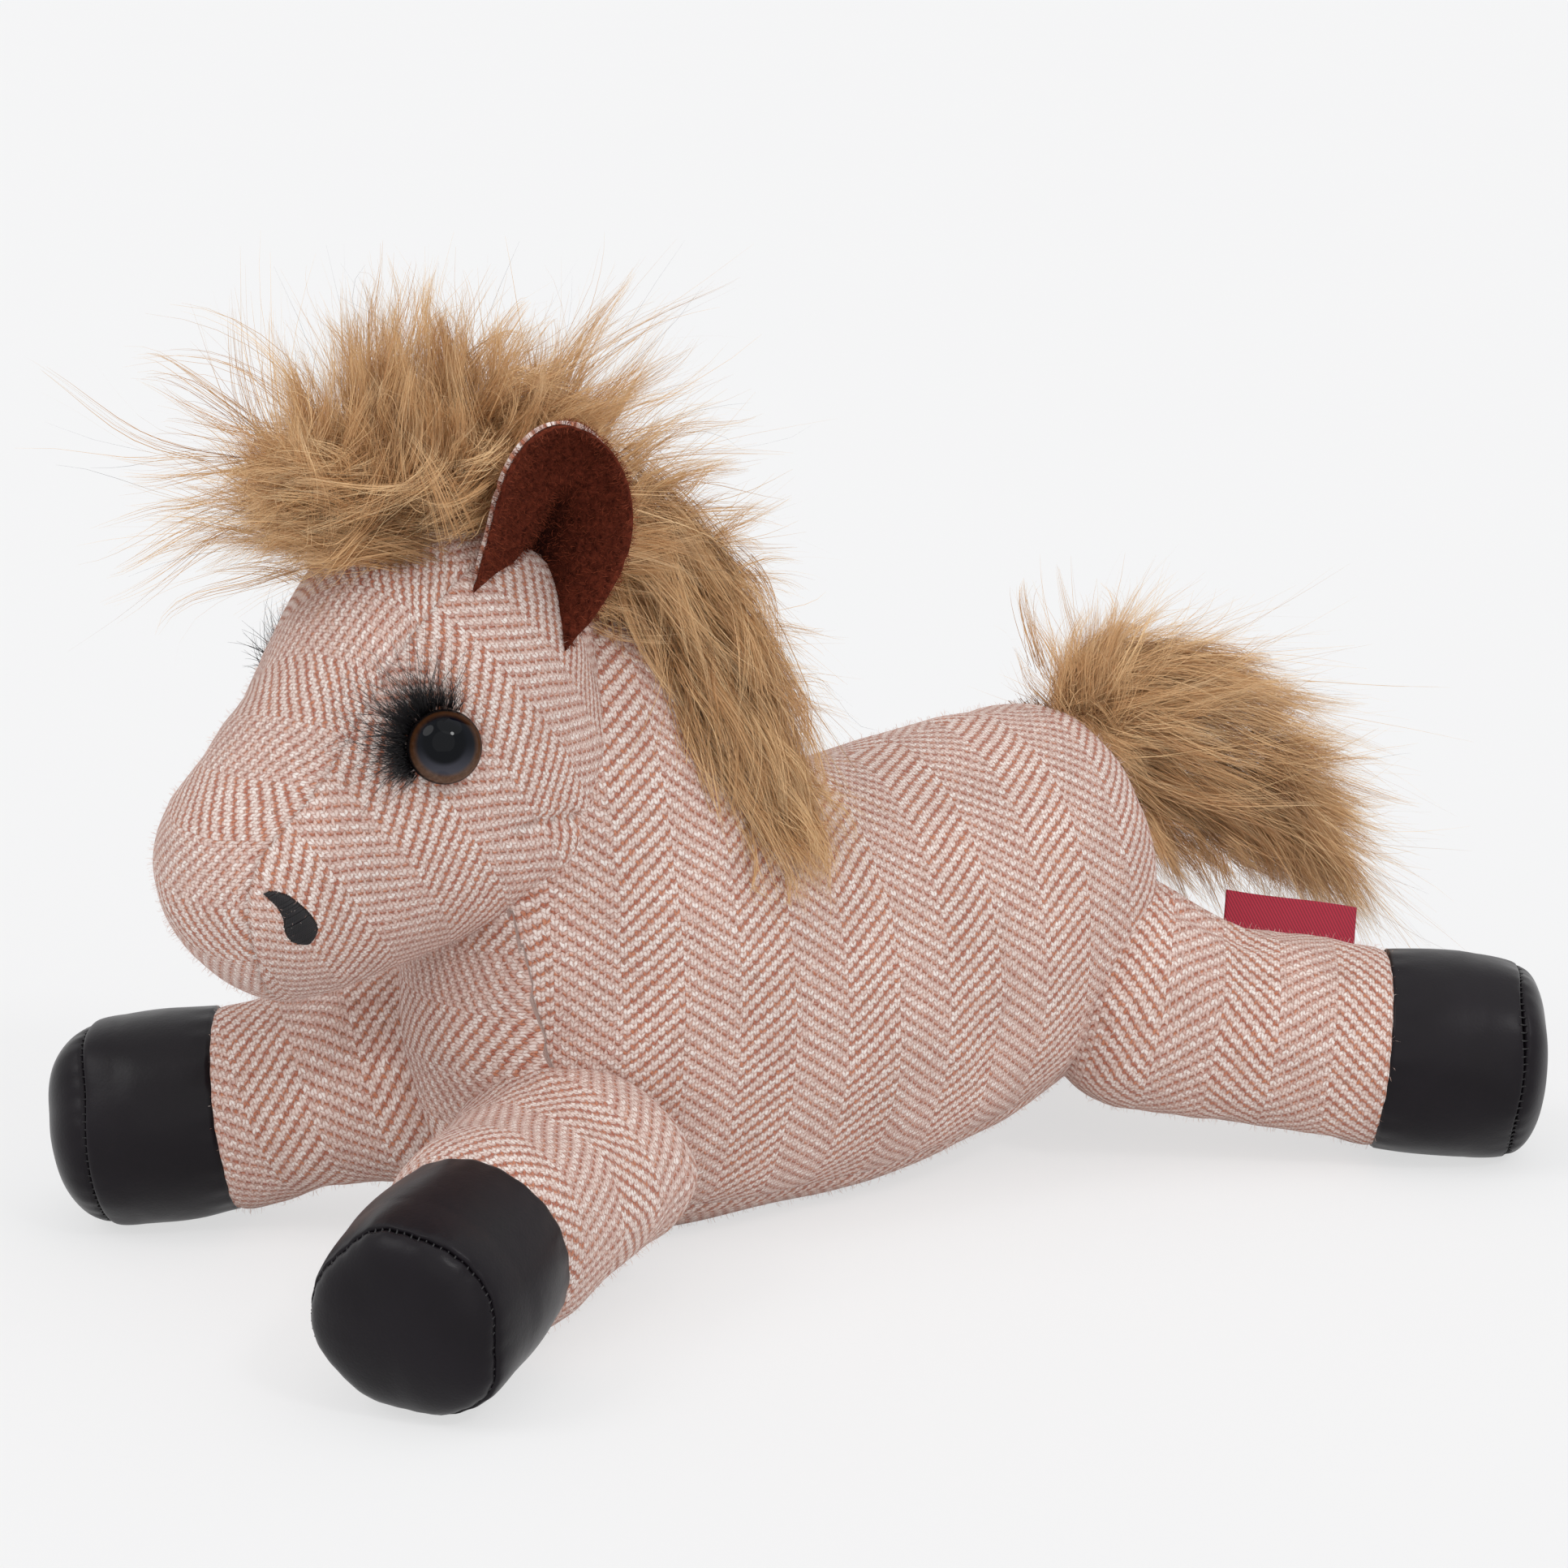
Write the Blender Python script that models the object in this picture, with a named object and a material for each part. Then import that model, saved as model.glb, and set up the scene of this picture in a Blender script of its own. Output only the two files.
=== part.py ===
"""Plush horse lying with its legs spread: stuffed forms, hooves, eyes, ears, fur and a woven tab.

Metres, +Z up. The head points to -X and the horse's left side to -Y.
The origin is on the floor at the middle of the belly's flat rest.
"""

import math
from collections import namedtuple

import bmesh
import bpy
from mathutils import Matrix, Vector

# Clearances and rests
SEAT_GAP = 0.0003
CUT_GAP = 0.0004
NECK_GAP = 0.0007
FUR_GAP = 0.0015
REST_FLAT = 0.0005
OVERRUN = 0.004

# Stuffed torso and neck
TORSO_LENGTH = 0.180
TORSO_HEIGHT = 0.098
TORSO_WIDTH = 0.080
NECK_RISE = 0.044

# Stuffed head
HEAD_LENGTH = 0.100
HEAD_DEPTH = 0.084
HEAD_WIDTH = 0.066

# Stuffed legs and their hooves
LEG_ROOT_RADIUS = 0.0255
LEG_RADIUS = 0.0215
LEG_SINK = 0.012
FORELEG_REACH = 0.047
HINDLEG_REACH = 0.060
FORE_HOOF_RADIUS = 0.0222
HIND_HOOF_RADIUS = 0.0230
HOOF_LENGTH = 0.031
HOOF_WALL = 0.0012
HOOF_SWELL = 0.0008
SOLE_WALL = 0.0012
SOLE_DOME = 0.0048

# Safety eyes
EYE_RADIUS = 0.0073
EYE_HEIGHT = 0.0062
EYE_FLANGE = 0.0010
POST_RADIUS = 0.0021
POST_LENGTH = 0.0130
WASHER_RADIUS = 0.0070
WASHER_WALL = 0.0012
WASHER_DEPTH = 0.0060
LASH_INNER_RADIUS = 0.0080
LASH_LENGTH = 0.0062
LASH_WALL = 0.0008

# A fringe's ends round its eye, from the eye's rear corner, its height at the ends and its outward lean
LASH_FIRST = math.radians(62)
LASH_LAST = math.radians(208)
LASH_END_SHARE = 0.55
LASH_LEAN_SHARE = 0.60

# Embroidered nostrils
NOSTRIL_LENGTH = 0.0125
NOSTRIL_WIDTH = 0.0075
NOSTRIL_WALL = 0.0007

# Ears
EAR_HEIGHT = 0.0385
EAR_WIDTH = 0.029
EAR_CUP = 0.010
EAR_LEAN = 0.004
EAR_SWEEP = 0.012
EAR_WALL = 0.0012

# Fur
FORELOCK_LENGTH = 0.084
FORELOCK_HEIGHT = 0.044
FORELOCK_WIDTH = 0.054
MANE_RADIUS = 0.015
TAIL_LENGTH = 0.100
TAIL_DEPTH = 0.062
TAIL_WIDTH = 0.034

# Woven tab
TAB_LENGTH = 0.030
TAB_HEIGHT = 0.0095
TAB_WALL = 0.0008

# How far each joint turns, for the clearance cut beside it
HEAD_TURN = math.radians(8)
LEG_TURN = math.radians(8)
EAR_TURN = math.radians(12)
TAIL_TURN = math.radians(15)
TAB_TURN = math.radians(20)

# Directions of the legs in plan, and their hooves' slope down to the sole
FORELEG_SPREAD = math.radians(35)
HINDLEG_SPREAD = math.radians(37)
FORE_HOOF_SLOPE = math.radians(7)
HIND_HOOF_SLOPE = math.radians(4)

TORSO_SIDES = 28
HEAD_SIDES = 26
LEG_SIDES = 20
LASH_STEPS = 12
EAR_COLUMNS = 7
ROOT_STEPS = 2
FUR_SIDES = 14
EYE_SIDES = 20

# Each row: top x and z, bottom x and z, half width. x is a share of the torso's length, z of its height,
# width of its half width. The neck's rows add a share of the neck's rise in the sixth and seventh columns.
TORSO_SECTION_SHARES = (
    (0.537, 0.78, 0.537, 0.50, 0.36, 0.00, 0.00),
    (0.508, 0.92, 0.505, 0.33, 0.66, 0.00, 0.00),
    (0.450, 1.005, 0.450, 0.19, 0.86, 0.00, 0.00),
    (0.350, 1.015, 0.355, 0.09, 0.96, 0.00, 0.00),
    (0.235, 0.995, 0.235, 0.03, 1.00, 0.00, 0.00),
    (0.125, 0.975, 0.115, 0.00, 1.00, 0.00, 0.00),
    (0.035, 0.985, -0.030, 0.00, 0.99, 0.05, 0.00),
    (-0.045, 1.00, -0.175, 0.00, 0.96, 0.27, 0.00),
    (-0.110, 1.00, -0.315, 0.045, 0.92, 0.54, 0.00),
    (-0.165, 1.00, -0.415, 0.21, 0.84, 0.76, 0.00),
    (-0.215, 1.00, -0.450, 0.42, 0.75, 0.88, 0.00),
    (-0.265, 1.00, -0.445, 0.62, 0.65, 0.86, 0.00),
    (-0.315, 1.00, -0.430, 0.77, 0.52, 0.74, 0.00),
    (-0.350, 1.00, -0.415, 0.92, 0.32, 0.56, 0.00),
)
TORSO_POLE_SHARES = ((0.548, 0.64, 0.00), (-0.385, 1.00, 0.30))

# The head's nodding joint, as shares of the torso's length and height and of the neck's rise
HEAD_JOINT_SHARES = (-0.350, 1.00, 0.20)

# Each row: top x and z, bottom x and z, half width, from the nodding joint.
# x is a share of the head's length, z of its depth, width of its half width.
HEAD_SECTION_SHARES = (
    (0.215, 0.29, 0.215, -0.10, 0.42),
    (0.130, 0.49, 0.170, -0.22, 0.72),
    (0.010, 0.62, 0.085, -0.31, 0.91),
    (-0.150, 0.655, -0.030, -0.38, 1.00),
    (-0.305, 0.585, -0.165, -0.43, 0.98),
    (-0.430, 0.445, -0.300, -0.465, 0.91),
    (-0.530, 0.285, -0.410, -0.50, 0.83),
    (-0.615, 0.145, -0.515, -0.515, 0.78),
    (-0.685, 0.025, -0.605, -0.485, 0.69),
    (-0.732, -0.085, -0.675, -0.41, 0.48),
)
HEAD_POLE_SHARES = ((0.250, 0.09), (-0.752, -0.250))

# Places on the head: x and z from the nodding joint, as shares of the head's length and depth
EYE_PLACE_SHARES = (-0.170, 0.080)
EYE_NOSE_TURN = math.radians(22)
EYE_UP_TURN = math.radians(10)
EYE_DOME_TURNS = tuple(math.radians(turn) for turn in (0, 22, 44, 66))
NOSTRIL_FACING_SHARES = (-0.42, -0.90, 0.10)
NOSTRIL_UP_SHARES = (0.35, 0, 1)
NOSTRIL_PLACE_SHARES = (-0.510, -0.245)
NOSTRIL_OUTLINE_SHARES = (
    (-0.50, 0.48), (-0.10, 0.42), (0.24, 0.18), (0.48, -0.18),
    (0.42, -0.44), (0.12, -0.50), (-0.16, -0.36), (-0.14, -0.06), (-0.26, 0.20),
)
EAR_PLACE_SHARES = (-0.100, 0.44)
EAR_SIDE_SHARE = 0.78
EAR_BASE_SLOPE = math.radians(31)
EAR_OUT_TURN = math.radians(22)
EAR_ROOT_IN_SHARE = 0.25
EAR_FORE_SHARE = 0.12
EAR_SWEEP_POWER = 1.5

# The leaf of an ear, from its root to its tip: height share, half width share
EAR_LEAF_SHARES = (
    (0.00, 0.80),
    (0.12, 0.88),
    (0.28, 0.94),
    (0.46, 1.00),
    (0.64, 0.94),
    (0.80, 0.78),
    (0.93, 0.48),
)

# Each row: top x and z, bottom x and z, half width, as shares of the forelock's length, height and half width
FORELOCK_SECTION_SHARES = (
    (-0.46, 0.38, -0.44, 0.02, 0.40),
    (-0.40, 0.62, -0.38, -0.12, 0.66),
    (-0.28, 0.84, -0.28, -0.18, 0.88),
    (-0.12, 0.98, -0.14, -0.10, 1.00),
    (0.06, 0.98, 0.02, -0.05, 0.96),
    (0.22, 0.84, 0.18, -0.10, 0.82),
    (0.36, 0.60, 0.32, -0.16, 0.62),
    (0.45, 0.34, 0.42, -0.10, 0.36),
)
FORELOCK_POLE_SHARES = ((-0.50, 0.18), (0.48, 0.10))
FORELOCK_PLACE_SHARES = (-0.125, 0.60)

# The mane's middle line down the neck's crest: x, z and neck rise shares, then the shares of the mane's
# radius that it is thick and that it leans to the left
MANE_LINE_SHARES = (
    (-0.222, 1.00, 1.25, 0.58, 0.10),
    (-0.180, 1.00, 1.08, 0.90, 0.30),
    (-0.125, 1.00, 0.80, 1.06, 0.50),
    (-0.070, 1.00, 0.50, 1.06, 0.75),
    (-0.025, 1.00, 0.20, 1.00, 1.10),
    (0.000, 0.96, 0.00, 0.84, 1.55),
    (0.005, 0.84, 0.00, 0.60, 2.05),
)

# Each row: top x and z, bottom x and z, half width, as shares of the tail's length, depth and half width
TAIL_SECTION_SHARES = (
    (0.00, 0.27, 0.02, -0.14, 0.36),
    (0.09, 0.42, 0.09, -0.32, 0.66),
    (0.22, 0.44, 0.22, -0.36, 0.90),
    (0.38, 0.34, 0.36, -0.51, 1.00),
    (0.56, 0.19, 0.52, -0.65, 1.00),
    (0.74, 0.00, 0.69, -0.76, 0.86),
    (0.88, -0.20, 0.83, -0.85, 0.62),
    (0.95, -0.44, 0.91, -0.86, 0.34),
)
TAIL_POLE_SHARES = ((-0.01, 0.06), (0.97, -0.70))
TAIL_JOINT_SHARES = (0.492, 0.930)

# Root of each leg: x share of the torso's length, side share of its half width, z share of its height
FORELEG_ROOT_SHARES = (-0.345, 0.62, 0.275)
HINDLEG_ROOT_SHARES = (0.470, 0.52, 0.385)

Leg = namedtuple("Leg", "root_shares reach spread heading hoof_radius hoof_slope")
LEGS = {
    "foreleg": Leg(
        FORELEG_ROOT_SHARES, FORELEG_REACH, FORELEG_SPREAD, -1, FORE_HOOF_RADIUS, FORE_HOOF_SLOPE
    ),
    "hind_leg": Leg(
        HINDLEG_ROOT_SHARES, HINDLEG_REACH, HINDLEG_SPREAD, 1, HIND_HOOF_RADIUS, HIND_HOOF_SLOPE
    ),
}
HOOF_NAMES = {"foreleg": "fore_hoof", "hind_leg": "hind_hoof"}

# Room kept between the two hind thighs, as a share of the leg's root radius
THIGH_GAP_SHARE = 0.52

# A leg's end inside the torso: how far its pole stands out, and its first ring's radius
LEG_CAP_SHARES = (0.16, 0.62)

# Along a leg from its root to the hoof's edge: distance share, radius blend to the root's radius
LEG_SWELL_SHARES = ((0.17, 1.00), (0.42, 0.80), (0.66, 0.45), (0.86, 0.18))

# Rings on a sole's dome, as shares of its height, and how far along the hoof its height is set
DOME_SHARES = (0.48, 0.83)
HOOF_REST_SHARE = 0.72

# The tab stands on the left hind leg: share of the reach to the tab's middle, and its lean to the inside
TAB_PLACE_SHARE = 0.61
TAB_SWELL_SHARE = 0.35
TAB_LEAN = math.radians(44)


def clear_scene():
    for obj in list(bpy.data.objects):
        bpy.data.objects.remove(obj, do_unlink=True)


def make_material(name, colour, roughness, metallic=0.0):
    material = bpy.data.materials.new(name)
    material.use_nodes = True
    shader = material.node_tree.nodes["Principled BSDF"]
    shader.inputs["Base Color"].default_value = (*colour, 1.0)
    shader.inputs["Roughness"].default_value = roughness
    shader.inputs["Metallic"].default_value = metallic
    return material


def mesh_of(points, faces, name):
    mesh = bpy.data.meshes.new(name)
    mesh.from_pydata([tuple(p) for p in points], [], faces)
    shape = bmesh.new()
    shape.from_mesh(mesh)
    bmesh.ops.recalc_face_normals(shape, faces=shape.faces)
    shape.to_mesh(mesh)
    shape.free()
    mesh.shade_smooth()
    return mesh


def place(name, points, faces, material, origin=Vector()):
    """An object whose own origin is at the given world point."""
    mesh = mesh_of([p - origin for p in points], faces, name)
    mesh.materials.append(material)
    obj = bpy.data.objects.new(name, mesh)
    obj.location = origin
    bpy.context.scene.collection.objects.link(obj)
    return obj


def hide_as_cutter(obj):
    obj.hide_render = True
    obj.display_type = "WIRE"
    return obj


def cut(obj, cutter, operation="DIFFERENCE"):
    modifier = obj.modifiers.new(operation.title(), "BOOLEAN")
    modifier.operation = operation
    modifier.object = cutter
    return obj


def skin(rings, first_pole=None, last_pole=None):
    """Points and faces of a closed form through the rings, with a fan to a pole at each end."""
    points = [p for ring in rings for p in ring]
    sides = len(rings[0])
    faces = []
    for row in range(len(rings) - 1):
        for k in range(sides):
            a = row * sides + k
            b = row * sides + (k + 1) % sides
            faces.append((a, b, b + sides, a + sides))
    last = (len(rings) - 1) * sides
    if first_pole is None:
        faces.append(tuple(range(sides)))
    else:
        points.append(first_pole)
        tip = len(points) - 1
        faces += [(tip, (k + 1) % sides, k) for k in range(sides)]
    if last_pole is None:
        faces.append(tuple(last + k for k in range(sides)))
    else:
        points.append(last_pole)
        tip = len(points) - 1
        faces += [(tip, last + k, last + (k + 1) % sides) for k in range(sides)]
    return points, faces


def loop_skin(rings):
    """Points and faces of a closed ring-shaped form: the last ring joins the first."""
    points = [p for ring in rings for p in ring]
    sides = len(rings[0])
    faces = []
    for row in range(len(rings)):
        for k in range(sides):
            a = row * sides + k
            b = row * sides + (k + 1) % sides
            c = ((row + 1) % len(rings)) * sides + (k + 1) % sides
            d = ((row + 1) % len(rings)) * sides + k
            faces.append((a, b, c, d))
    return points, faces


def section_ring(top, bottom, half_width, sides):
    """An oval in the plane through top, bottom and the side direction."""
    middle = (top + bottom) / 2
    rise = (top - bottom) / 2
    side = Vector((0, half_width, 0))
    return [
        middle + rise * math.sin(2 * math.pi * k / sides) + side * math.cos(2 * math.pi * k / sides)
        for k in range(sides)
    ]


def round_ring(middle, along, radius, sides):
    """A circle about a middle, square to a direction that isn't upright."""
    side = along.cross(Vector((0, 0, 1))).normalized()
    rise = side.cross(along).normalized()
    return [
        middle
        + rise * (radius * math.sin(2 * math.pi * k / sides))
        + side * (radius * math.cos(2 * math.pi * k / sides))
        for k in range(sides)
    ]


def box(name, low, high):
    """A hidden cutter between two corners."""
    corners = [
        Vector((x, y, z))
        for x in (low.x, high.x)
        for y in (low.y, high.y)
        for z in (low.z, high.z)
    ]
    faces = [(0, 1, 3, 2), (4, 6, 7, 5), (0, 4, 5, 1), (2, 3, 7, 6), (0, 2, 6, 4), (1, 5, 7, 3)]
    obj = bpy.data.objects.new(name, mesh_of(corners, faces, name))
    bpy.context.scene.collection.objects.link(obj)
    return hide_as_cutter(obj)


def swollen(points, faces, name, gap, turns=(), cuts=0):
    """A hidden cutter: the form grown by a gap, and by what each (joint, axis, angle) sweeps.

    Its faces are first cut smaller, for a close fit near the joint.
    """
    mesh = mesh_of(points, faces, name)
    if cuts:
        shape = bmesh.new()
        shape.from_mesh(mesh)
        bmesh.ops.subdivide_edges(shape, edges=shape.edges, cuts=cuts, use_grid_fill=True)
        shape.to_mesh(mesh)
        shape.free()
    grown = []
    for vertex in mesh.vertices:
        normal = Vector(vertex.normal)
        reach = gap
        for joint, axis, angle in turns:
            arm = vertex.co - joint
            arm = arm - axis * arm.dot(axis)
            reach += abs(axis.cross(arm).dot(normal)) * math.sin(angle)
            reach += arm.length * (1 - math.cos(angle))
        grown.append(vertex.co + normal * reach)
    for vertex, point in zip(mesh.vertices, grown):
        vertex.co = point
    obj = bpy.data.objects.new(name, mesh)
    bpy.context.scene.collection.objects.link(obj)
    return hide_as_cutter(obj)


def torso_point(x_share, z_share, rise_share=0.0):
    return Vector((
        x_share * TORSO_LENGTH,
        0,
        z_share * TORSO_HEIGHT + rise_share * NECK_RISE,
    ))


def torso_form():
    rings = []
    for top_x, top_z, low_x, low_z, width, top_rise, low_rise in TORSO_SECTION_SHARES:
        top = torso_point(top_x, top_z, top_rise)
        bottom = torso_point(low_x, low_z, low_rise)
        if low_z == 0:
            bottom.z = -REST_FLAT
        rings.append(section_ring(top, bottom, width * TORSO_WIDTH / 2, TORSO_SIDES))
    rear, front = (torso_point(*shares) for shares in TORSO_POLE_SHARES)
    return skin(rings, rear, front)


def head_joint():
    return torso_point(*HEAD_JOINT_SHARES)


def head_point(x_share, z_share):
    return head_joint() + Vector((x_share * HEAD_LENGTH, 0, z_share * HEAD_DEPTH))


def head_form():
    rings = [
        section_ring(
            head_point(top_x, top_z),
            head_point(low_x, low_z),
            width * HEAD_WIDTH / 2,
            HEAD_SIDES,
        )
        for top_x, top_z, low_x, low_z, width in HEAD_SECTION_SHARES
    ]
    back, nose = (head_point(*shares) for shares in HEAD_POLE_SHARES)
    return skin(rings, back, nose)


def surface_hit(form, start, direction):
    """Where a line meets a form from outside, and the form's normal there."""
    points, faces = form
    mesh = mesh_of(points, faces, "probe")
    obj = bpy.data.objects.new("probe", mesh)
    bpy.context.scene.collection.objects.link(obj)
    bpy.context.view_layer.update()
    found, place_hit, normal, _ = obj.ray_cast(start, direction)
    bpy.data.objects.remove(obj, do_unlink=True)
    bpy.data.meshes.remove(mesh)
    return (place_hit, normal) if found else (start, -direction)


def frame_at(origin, out, up_hint):
    """A matrix with Z along out and Y as near up_hint as it can be."""
    z = out.normalized()
    x = up_hint.cross(z).normalized()
    y = z.cross(x)
    return Matrix.Translation(origin) @ Matrix((x, y, z)).transposed().to_4x4()


def turned(profile, frame, sides, closed_loop=False):
    """A form turned about a frame's Z from (height, radius) pairs. A pair of radius 0 is a pole."""
    def ring(height, radius):
        return [
            frame @ Vector((
                radius * math.cos(2 * math.pi * k / sides),
                radius * math.sin(2 * math.pi * k / sides),
                height,
            ))
            for k in range(sides)
        ]

    if closed_loop:
        return loop_skin([ring(h, r) for h, r in profile])
    body = [pair for pair in profile if pair[1] > 0]
    first = frame @ Vector((0, 0, profile[0][0])) if profile[0][1] == 0 else None
    last = frame @ Vector((0, 0, profile[-1][0])) if profile[-1][1] == 0 else None
    return skin([ring(h, r) for h, r in body], first, last)


def mirrored(form):
    points, faces = form
    return [Vector((p.x, -p.y, p.z)) for p in points], [tuple(reversed(f)) for f in faces]


def for_side(form, side):
    """The left side is at -Y. A form made for the left is mirrored for the right."""
    return form if side == "left" else mirrored(form)


def side_point(point, side):
    return point if side == "left" else Vector((point.x, -point.y, point.z))


def leg_axis(leg):
    """The hoof's direction for the left side."""
    flat = math.cos(leg.hoof_slope)
    return Vector((
        leg.heading * math.cos(leg.spread) * flat,
        -math.sin(leg.spread) * flat,
        -math.sin(leg.hoof_slope),
    ))


def leg_root(leg):
    x_share, side_share, z_share = leg.root_shares
    return Vector((x_share * TORSO_LENGTH, -side_share * TORSO_WIDTH / 2, z_share * TORSO_HEIGHT))


def hoof_edge(leg):
    """The middle of the seam where the knit leg meets its hoof, with the hoof's far end at rest."""
    along = leg_axis(leg)
    edge = leg_root(leg) + along * leg.reach
    edge.z = leg.hoof_radius - REST_FLAT - along.z * HOOF_LENGTH * HOOF_REST_SHARE
    return edge


def leg_form(leg):
    """The stuffed knit leg, whose filling runs on into the hoof as a plug."""
    along = leg_axis(leg)
    root = leg_root(leg)
    edge = hoof_edge(leg)
    run = (edge - root).normalized()
    start = root - run * LEG_SINK
    pole_share, cap_share = LEG_CAP_SHARES
    rings = [round_ring(start, run, LEG_ROOT_RADIUS * cap_share, LEG_SIDES)]
    for share, swell in LEG_SWELL_SHARES:
        middle = start.lerp(edge, share)
        heading_there = run.lerp(along, share).normalized()
        radius = LEG_RADIUS + (LEG_ROOT_RADIUS - LEG_RADIUS) * swell
        rings.append(round_ring(middle, heading_there, radius, LEG_SIDES))
    seam_radius = leg.hoof_radius - HOOF_SWELL
    plug_radius = seam_radius - HOOF_WALL - SEAT_GAP
    shoulder = edge - along * SEAT_GAP
    rings.append(round_ring(shoulder, along, seam_radius, LEG_SIDES))
    rings.append(round_ring(shoulder, along, plug_radius, LEG_SIDES))
    plug_end = HOOF_LENGTH - SEAT_GAP
    dome = SOLE_DOME - SOLE_WALL
    rings.append(round_ring(edge + along * plug_end, along, plug_radius, LEG_SIDES))
    for share in DOME_SHARES:
        middle = edge + along * (plug_end + dome * share)
        rings.append(round_ring(middle, along, plug_radius * math.sqrt(1 - share * share), LEG_SIDES))
    pole = start - run * (LEG_ROOT_RADIUS * pole_share)
    return skin(rings, pole, edge + along * (plug_end + dome))


def hoof_band_form(leg):
    along = leg_axis(leg)
    edge = hoof_edge(leg)
    seam_radius = leg.hoof_radius - HOOF_SWELL
    stations = (
        (0.0, seam_radius),
        (HOOF_LENGTH / 4, leg.hoof_radius),
        (HOOF_LENGTH * 3 / 4, leg.hoof_radius),
        (HOOF_LENGTH, seam_radius),
    )
    outer = [round_ring(edge + along * t, along, r, LEG_SIDES) for t, r in stations]
    inner = [
        round_ring(edge + along * t, along, seam_radius - HOOF_WALL, LEG_SIDES)
        for t in (HOOF_LENGTH, 0.0)
    ]
    return loop_skin(outer + inner)


def sole_form(leg):
    """A domed disc that closes the band's end."""
    along = leg_axis(leg)
    base = hoof_edge(leg) + along * (HOOF_LENGTH + SEAT_GAP)
    rim = leg.hoof_radius - HOOF_SWELL
    dome = SOLE_DOME - SOLE_WALL
    outer = [(0.0, rim), (SOLE_WALL, rim)]
    outer += [(SOLE_WALL + dome * share, rim * math.sqrt(1 - share * share)) for share in DOME_SHARES]
    hollow = rim - HOOF_WALL
    inner = [(0.0, hollow)]
    inner += [(dome * share, hollow * math.sqrt(1 - share * share)) for share in DOME_SHARES]
    rings = [round_ring(base + along * t, along, r, LEG_SIDES) for t, r in reversed(inner)]
    rings += [round_ring(base + along * t, along, r, LEG_SIDES) for t, r in outer]
    return skin(rings, base + along * dome, base + along * SOLE_DOME)


def eye_frame(head):
    """On the left cheek, looking out and a little to the nose and up."""
    target = head_point(*EYE_PLACE_SHARES)
    out = Vector((
        -math.sin(EYE_NOSE_TURN),
        -math.cos(EYE_NOSE_TURN) * math.cos(EYE_UP_TURN),
        math.sin(EYE_UP_TURN),
    )).normalized()
    seat, _ = surface_hit(head, target + out * HEAD_WIDTH, -out)
    return frame_at(seat, out, Vector((0, 0, 1)))


def eye_profile():
    dome = [
        (EYE_FLANGE + EYE_HEIGHT * math.sin(angle), EYE_RADIUS * math.cos(angle))
        for angle in EYE_DOME_TURNS
    ]
    return (
        [(-POST_LENGTH, 0), (-POST_LENGTH, POST_RADIUS), (0.0, POST_RADIUS), (0.0, EYE_RADIUS)]
        + dome
        + [(EYE_FLANGE + EYE_HEIGHT, 0)]
    )


def washer_profile():
    hole = POST_RADIUS + SEAT_GAP
    return [
        (-WASHER_DEPTH, hole),
        (-WASHER_DEPTH, WASHER_RADIUS),
        (-WASHER_DEPTH - WASHER_WALL, WASHER_RADIUS),
        (-WASHER_DEPTH - WASHER_WALL, hole),
    ]


def eye_cavity_profile():
    """The room that the eye, its post and its washer take in the head."""
    low = -WASHER_DEPTH - WASHER_WALL - SEAT_GAP
    high = -WASHER_DEPTH + SEAT_GAP
    washer = WASHER_RADIUS + SEAT_GAP
    post = POST_RADIUS + SEAT_GAP
    end = -POST_LENGTH - SEAT_GAP
    return [
        (end, 0),
        (end, post),
        (low, post),
        (low, washer),
        (high, washer),
        (high, post),
        (-SEAT_GAP, post),
        (-SEAT_GAP, EYE_RADIUS + SEAT_GAP),
        (EYE_HEIGHT, EYE_RADIUS + SEAT_GAP),
        (EYE_HEIGHT, 0),
    ]


def lash_form(frame):
    """A band of fringe round the eye's upper and nose sides, standing off the cheek."""
    lift = Vector((0, 0, 1))
    rings = []
    for k in range(LASH_STEPS + 1):
        angle = LASH_FIRST + (LASH_LAST - LASH_FIRST) * k / LASH_STEPS
        length = LASH_LENGTH * (
            LASH_END_SHARE + (1 - LASH_END_SHARE) * math.sin(math.pi * k / LASH_STEPS)
        )
        out = Vector((math.cos(angle), math.sin(angle), 0))
        low = out * LASH_INNER_RADIUS - lift * OVERRUN
        high = out * (LASH_INNER_RADIUS + length * LASH_LEAN_SHARE) + lift * length
        wide = out * LASH_WALL
        rings.append([frame @ p for p in (low, low + wide, high + wide, high)])
    return skin(rings)


def nostril_prism(head):
    """A comma outline, pushed through the muzzle's left side."""
    target = head_point(*NOSTRIL_PLACE_SHARES)
    out = Vector(NOSTRIL_FACING_SHARES).normalized()
    seat, _ = surface_hit(head, target + out * HEAD_WIDTH, -out)
    frame = frame_at(seat, out, Vector(NOSTRIL_UP_SHARES))
    rings = [
        [
            frame @ Vector((x * NOSTRIL_WIDTH, z * NOSTRIL_LENGTH, depth))
            for x, z in NOSTRIL_OUTLINE_SHARES
        ]
        for depth in (-OVERRUN, OVERRUN)
    ]
    return skin(rings)


def ear_frame(head):
    """At the left ear's root: X runs back along the root, Y up the ear and Z out of its cup."""
    middle = head_point(*EAR_PLACE_SHARES)
    start = middle + Vector((0, -EAR_SIDE_SHARE * HEAD_WIDTH / 2, HEAD_DEPTH))
    seat, _ = surface_hit(head, start, Vector((0, 0, -1)))
    back = Vector((math.cos(EAR_BASE_SLOPE), -EAR_ROOT_IN_SHARE, -math.sin(EAR_BASE_SLOPE)))
    back.normalize()
    up = Vector((EAR_FORE_SHARE, -math.sin(EAR_OUT_TURN), math.cos(EAR_OUT_TURN)))
    up = (up - back * up.dot(back)).normalized()
    out = back.cross(up)
    return Matrix.Translation(seat) @ Matrix((back, up, out)).transposed().to_4x4()


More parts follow.
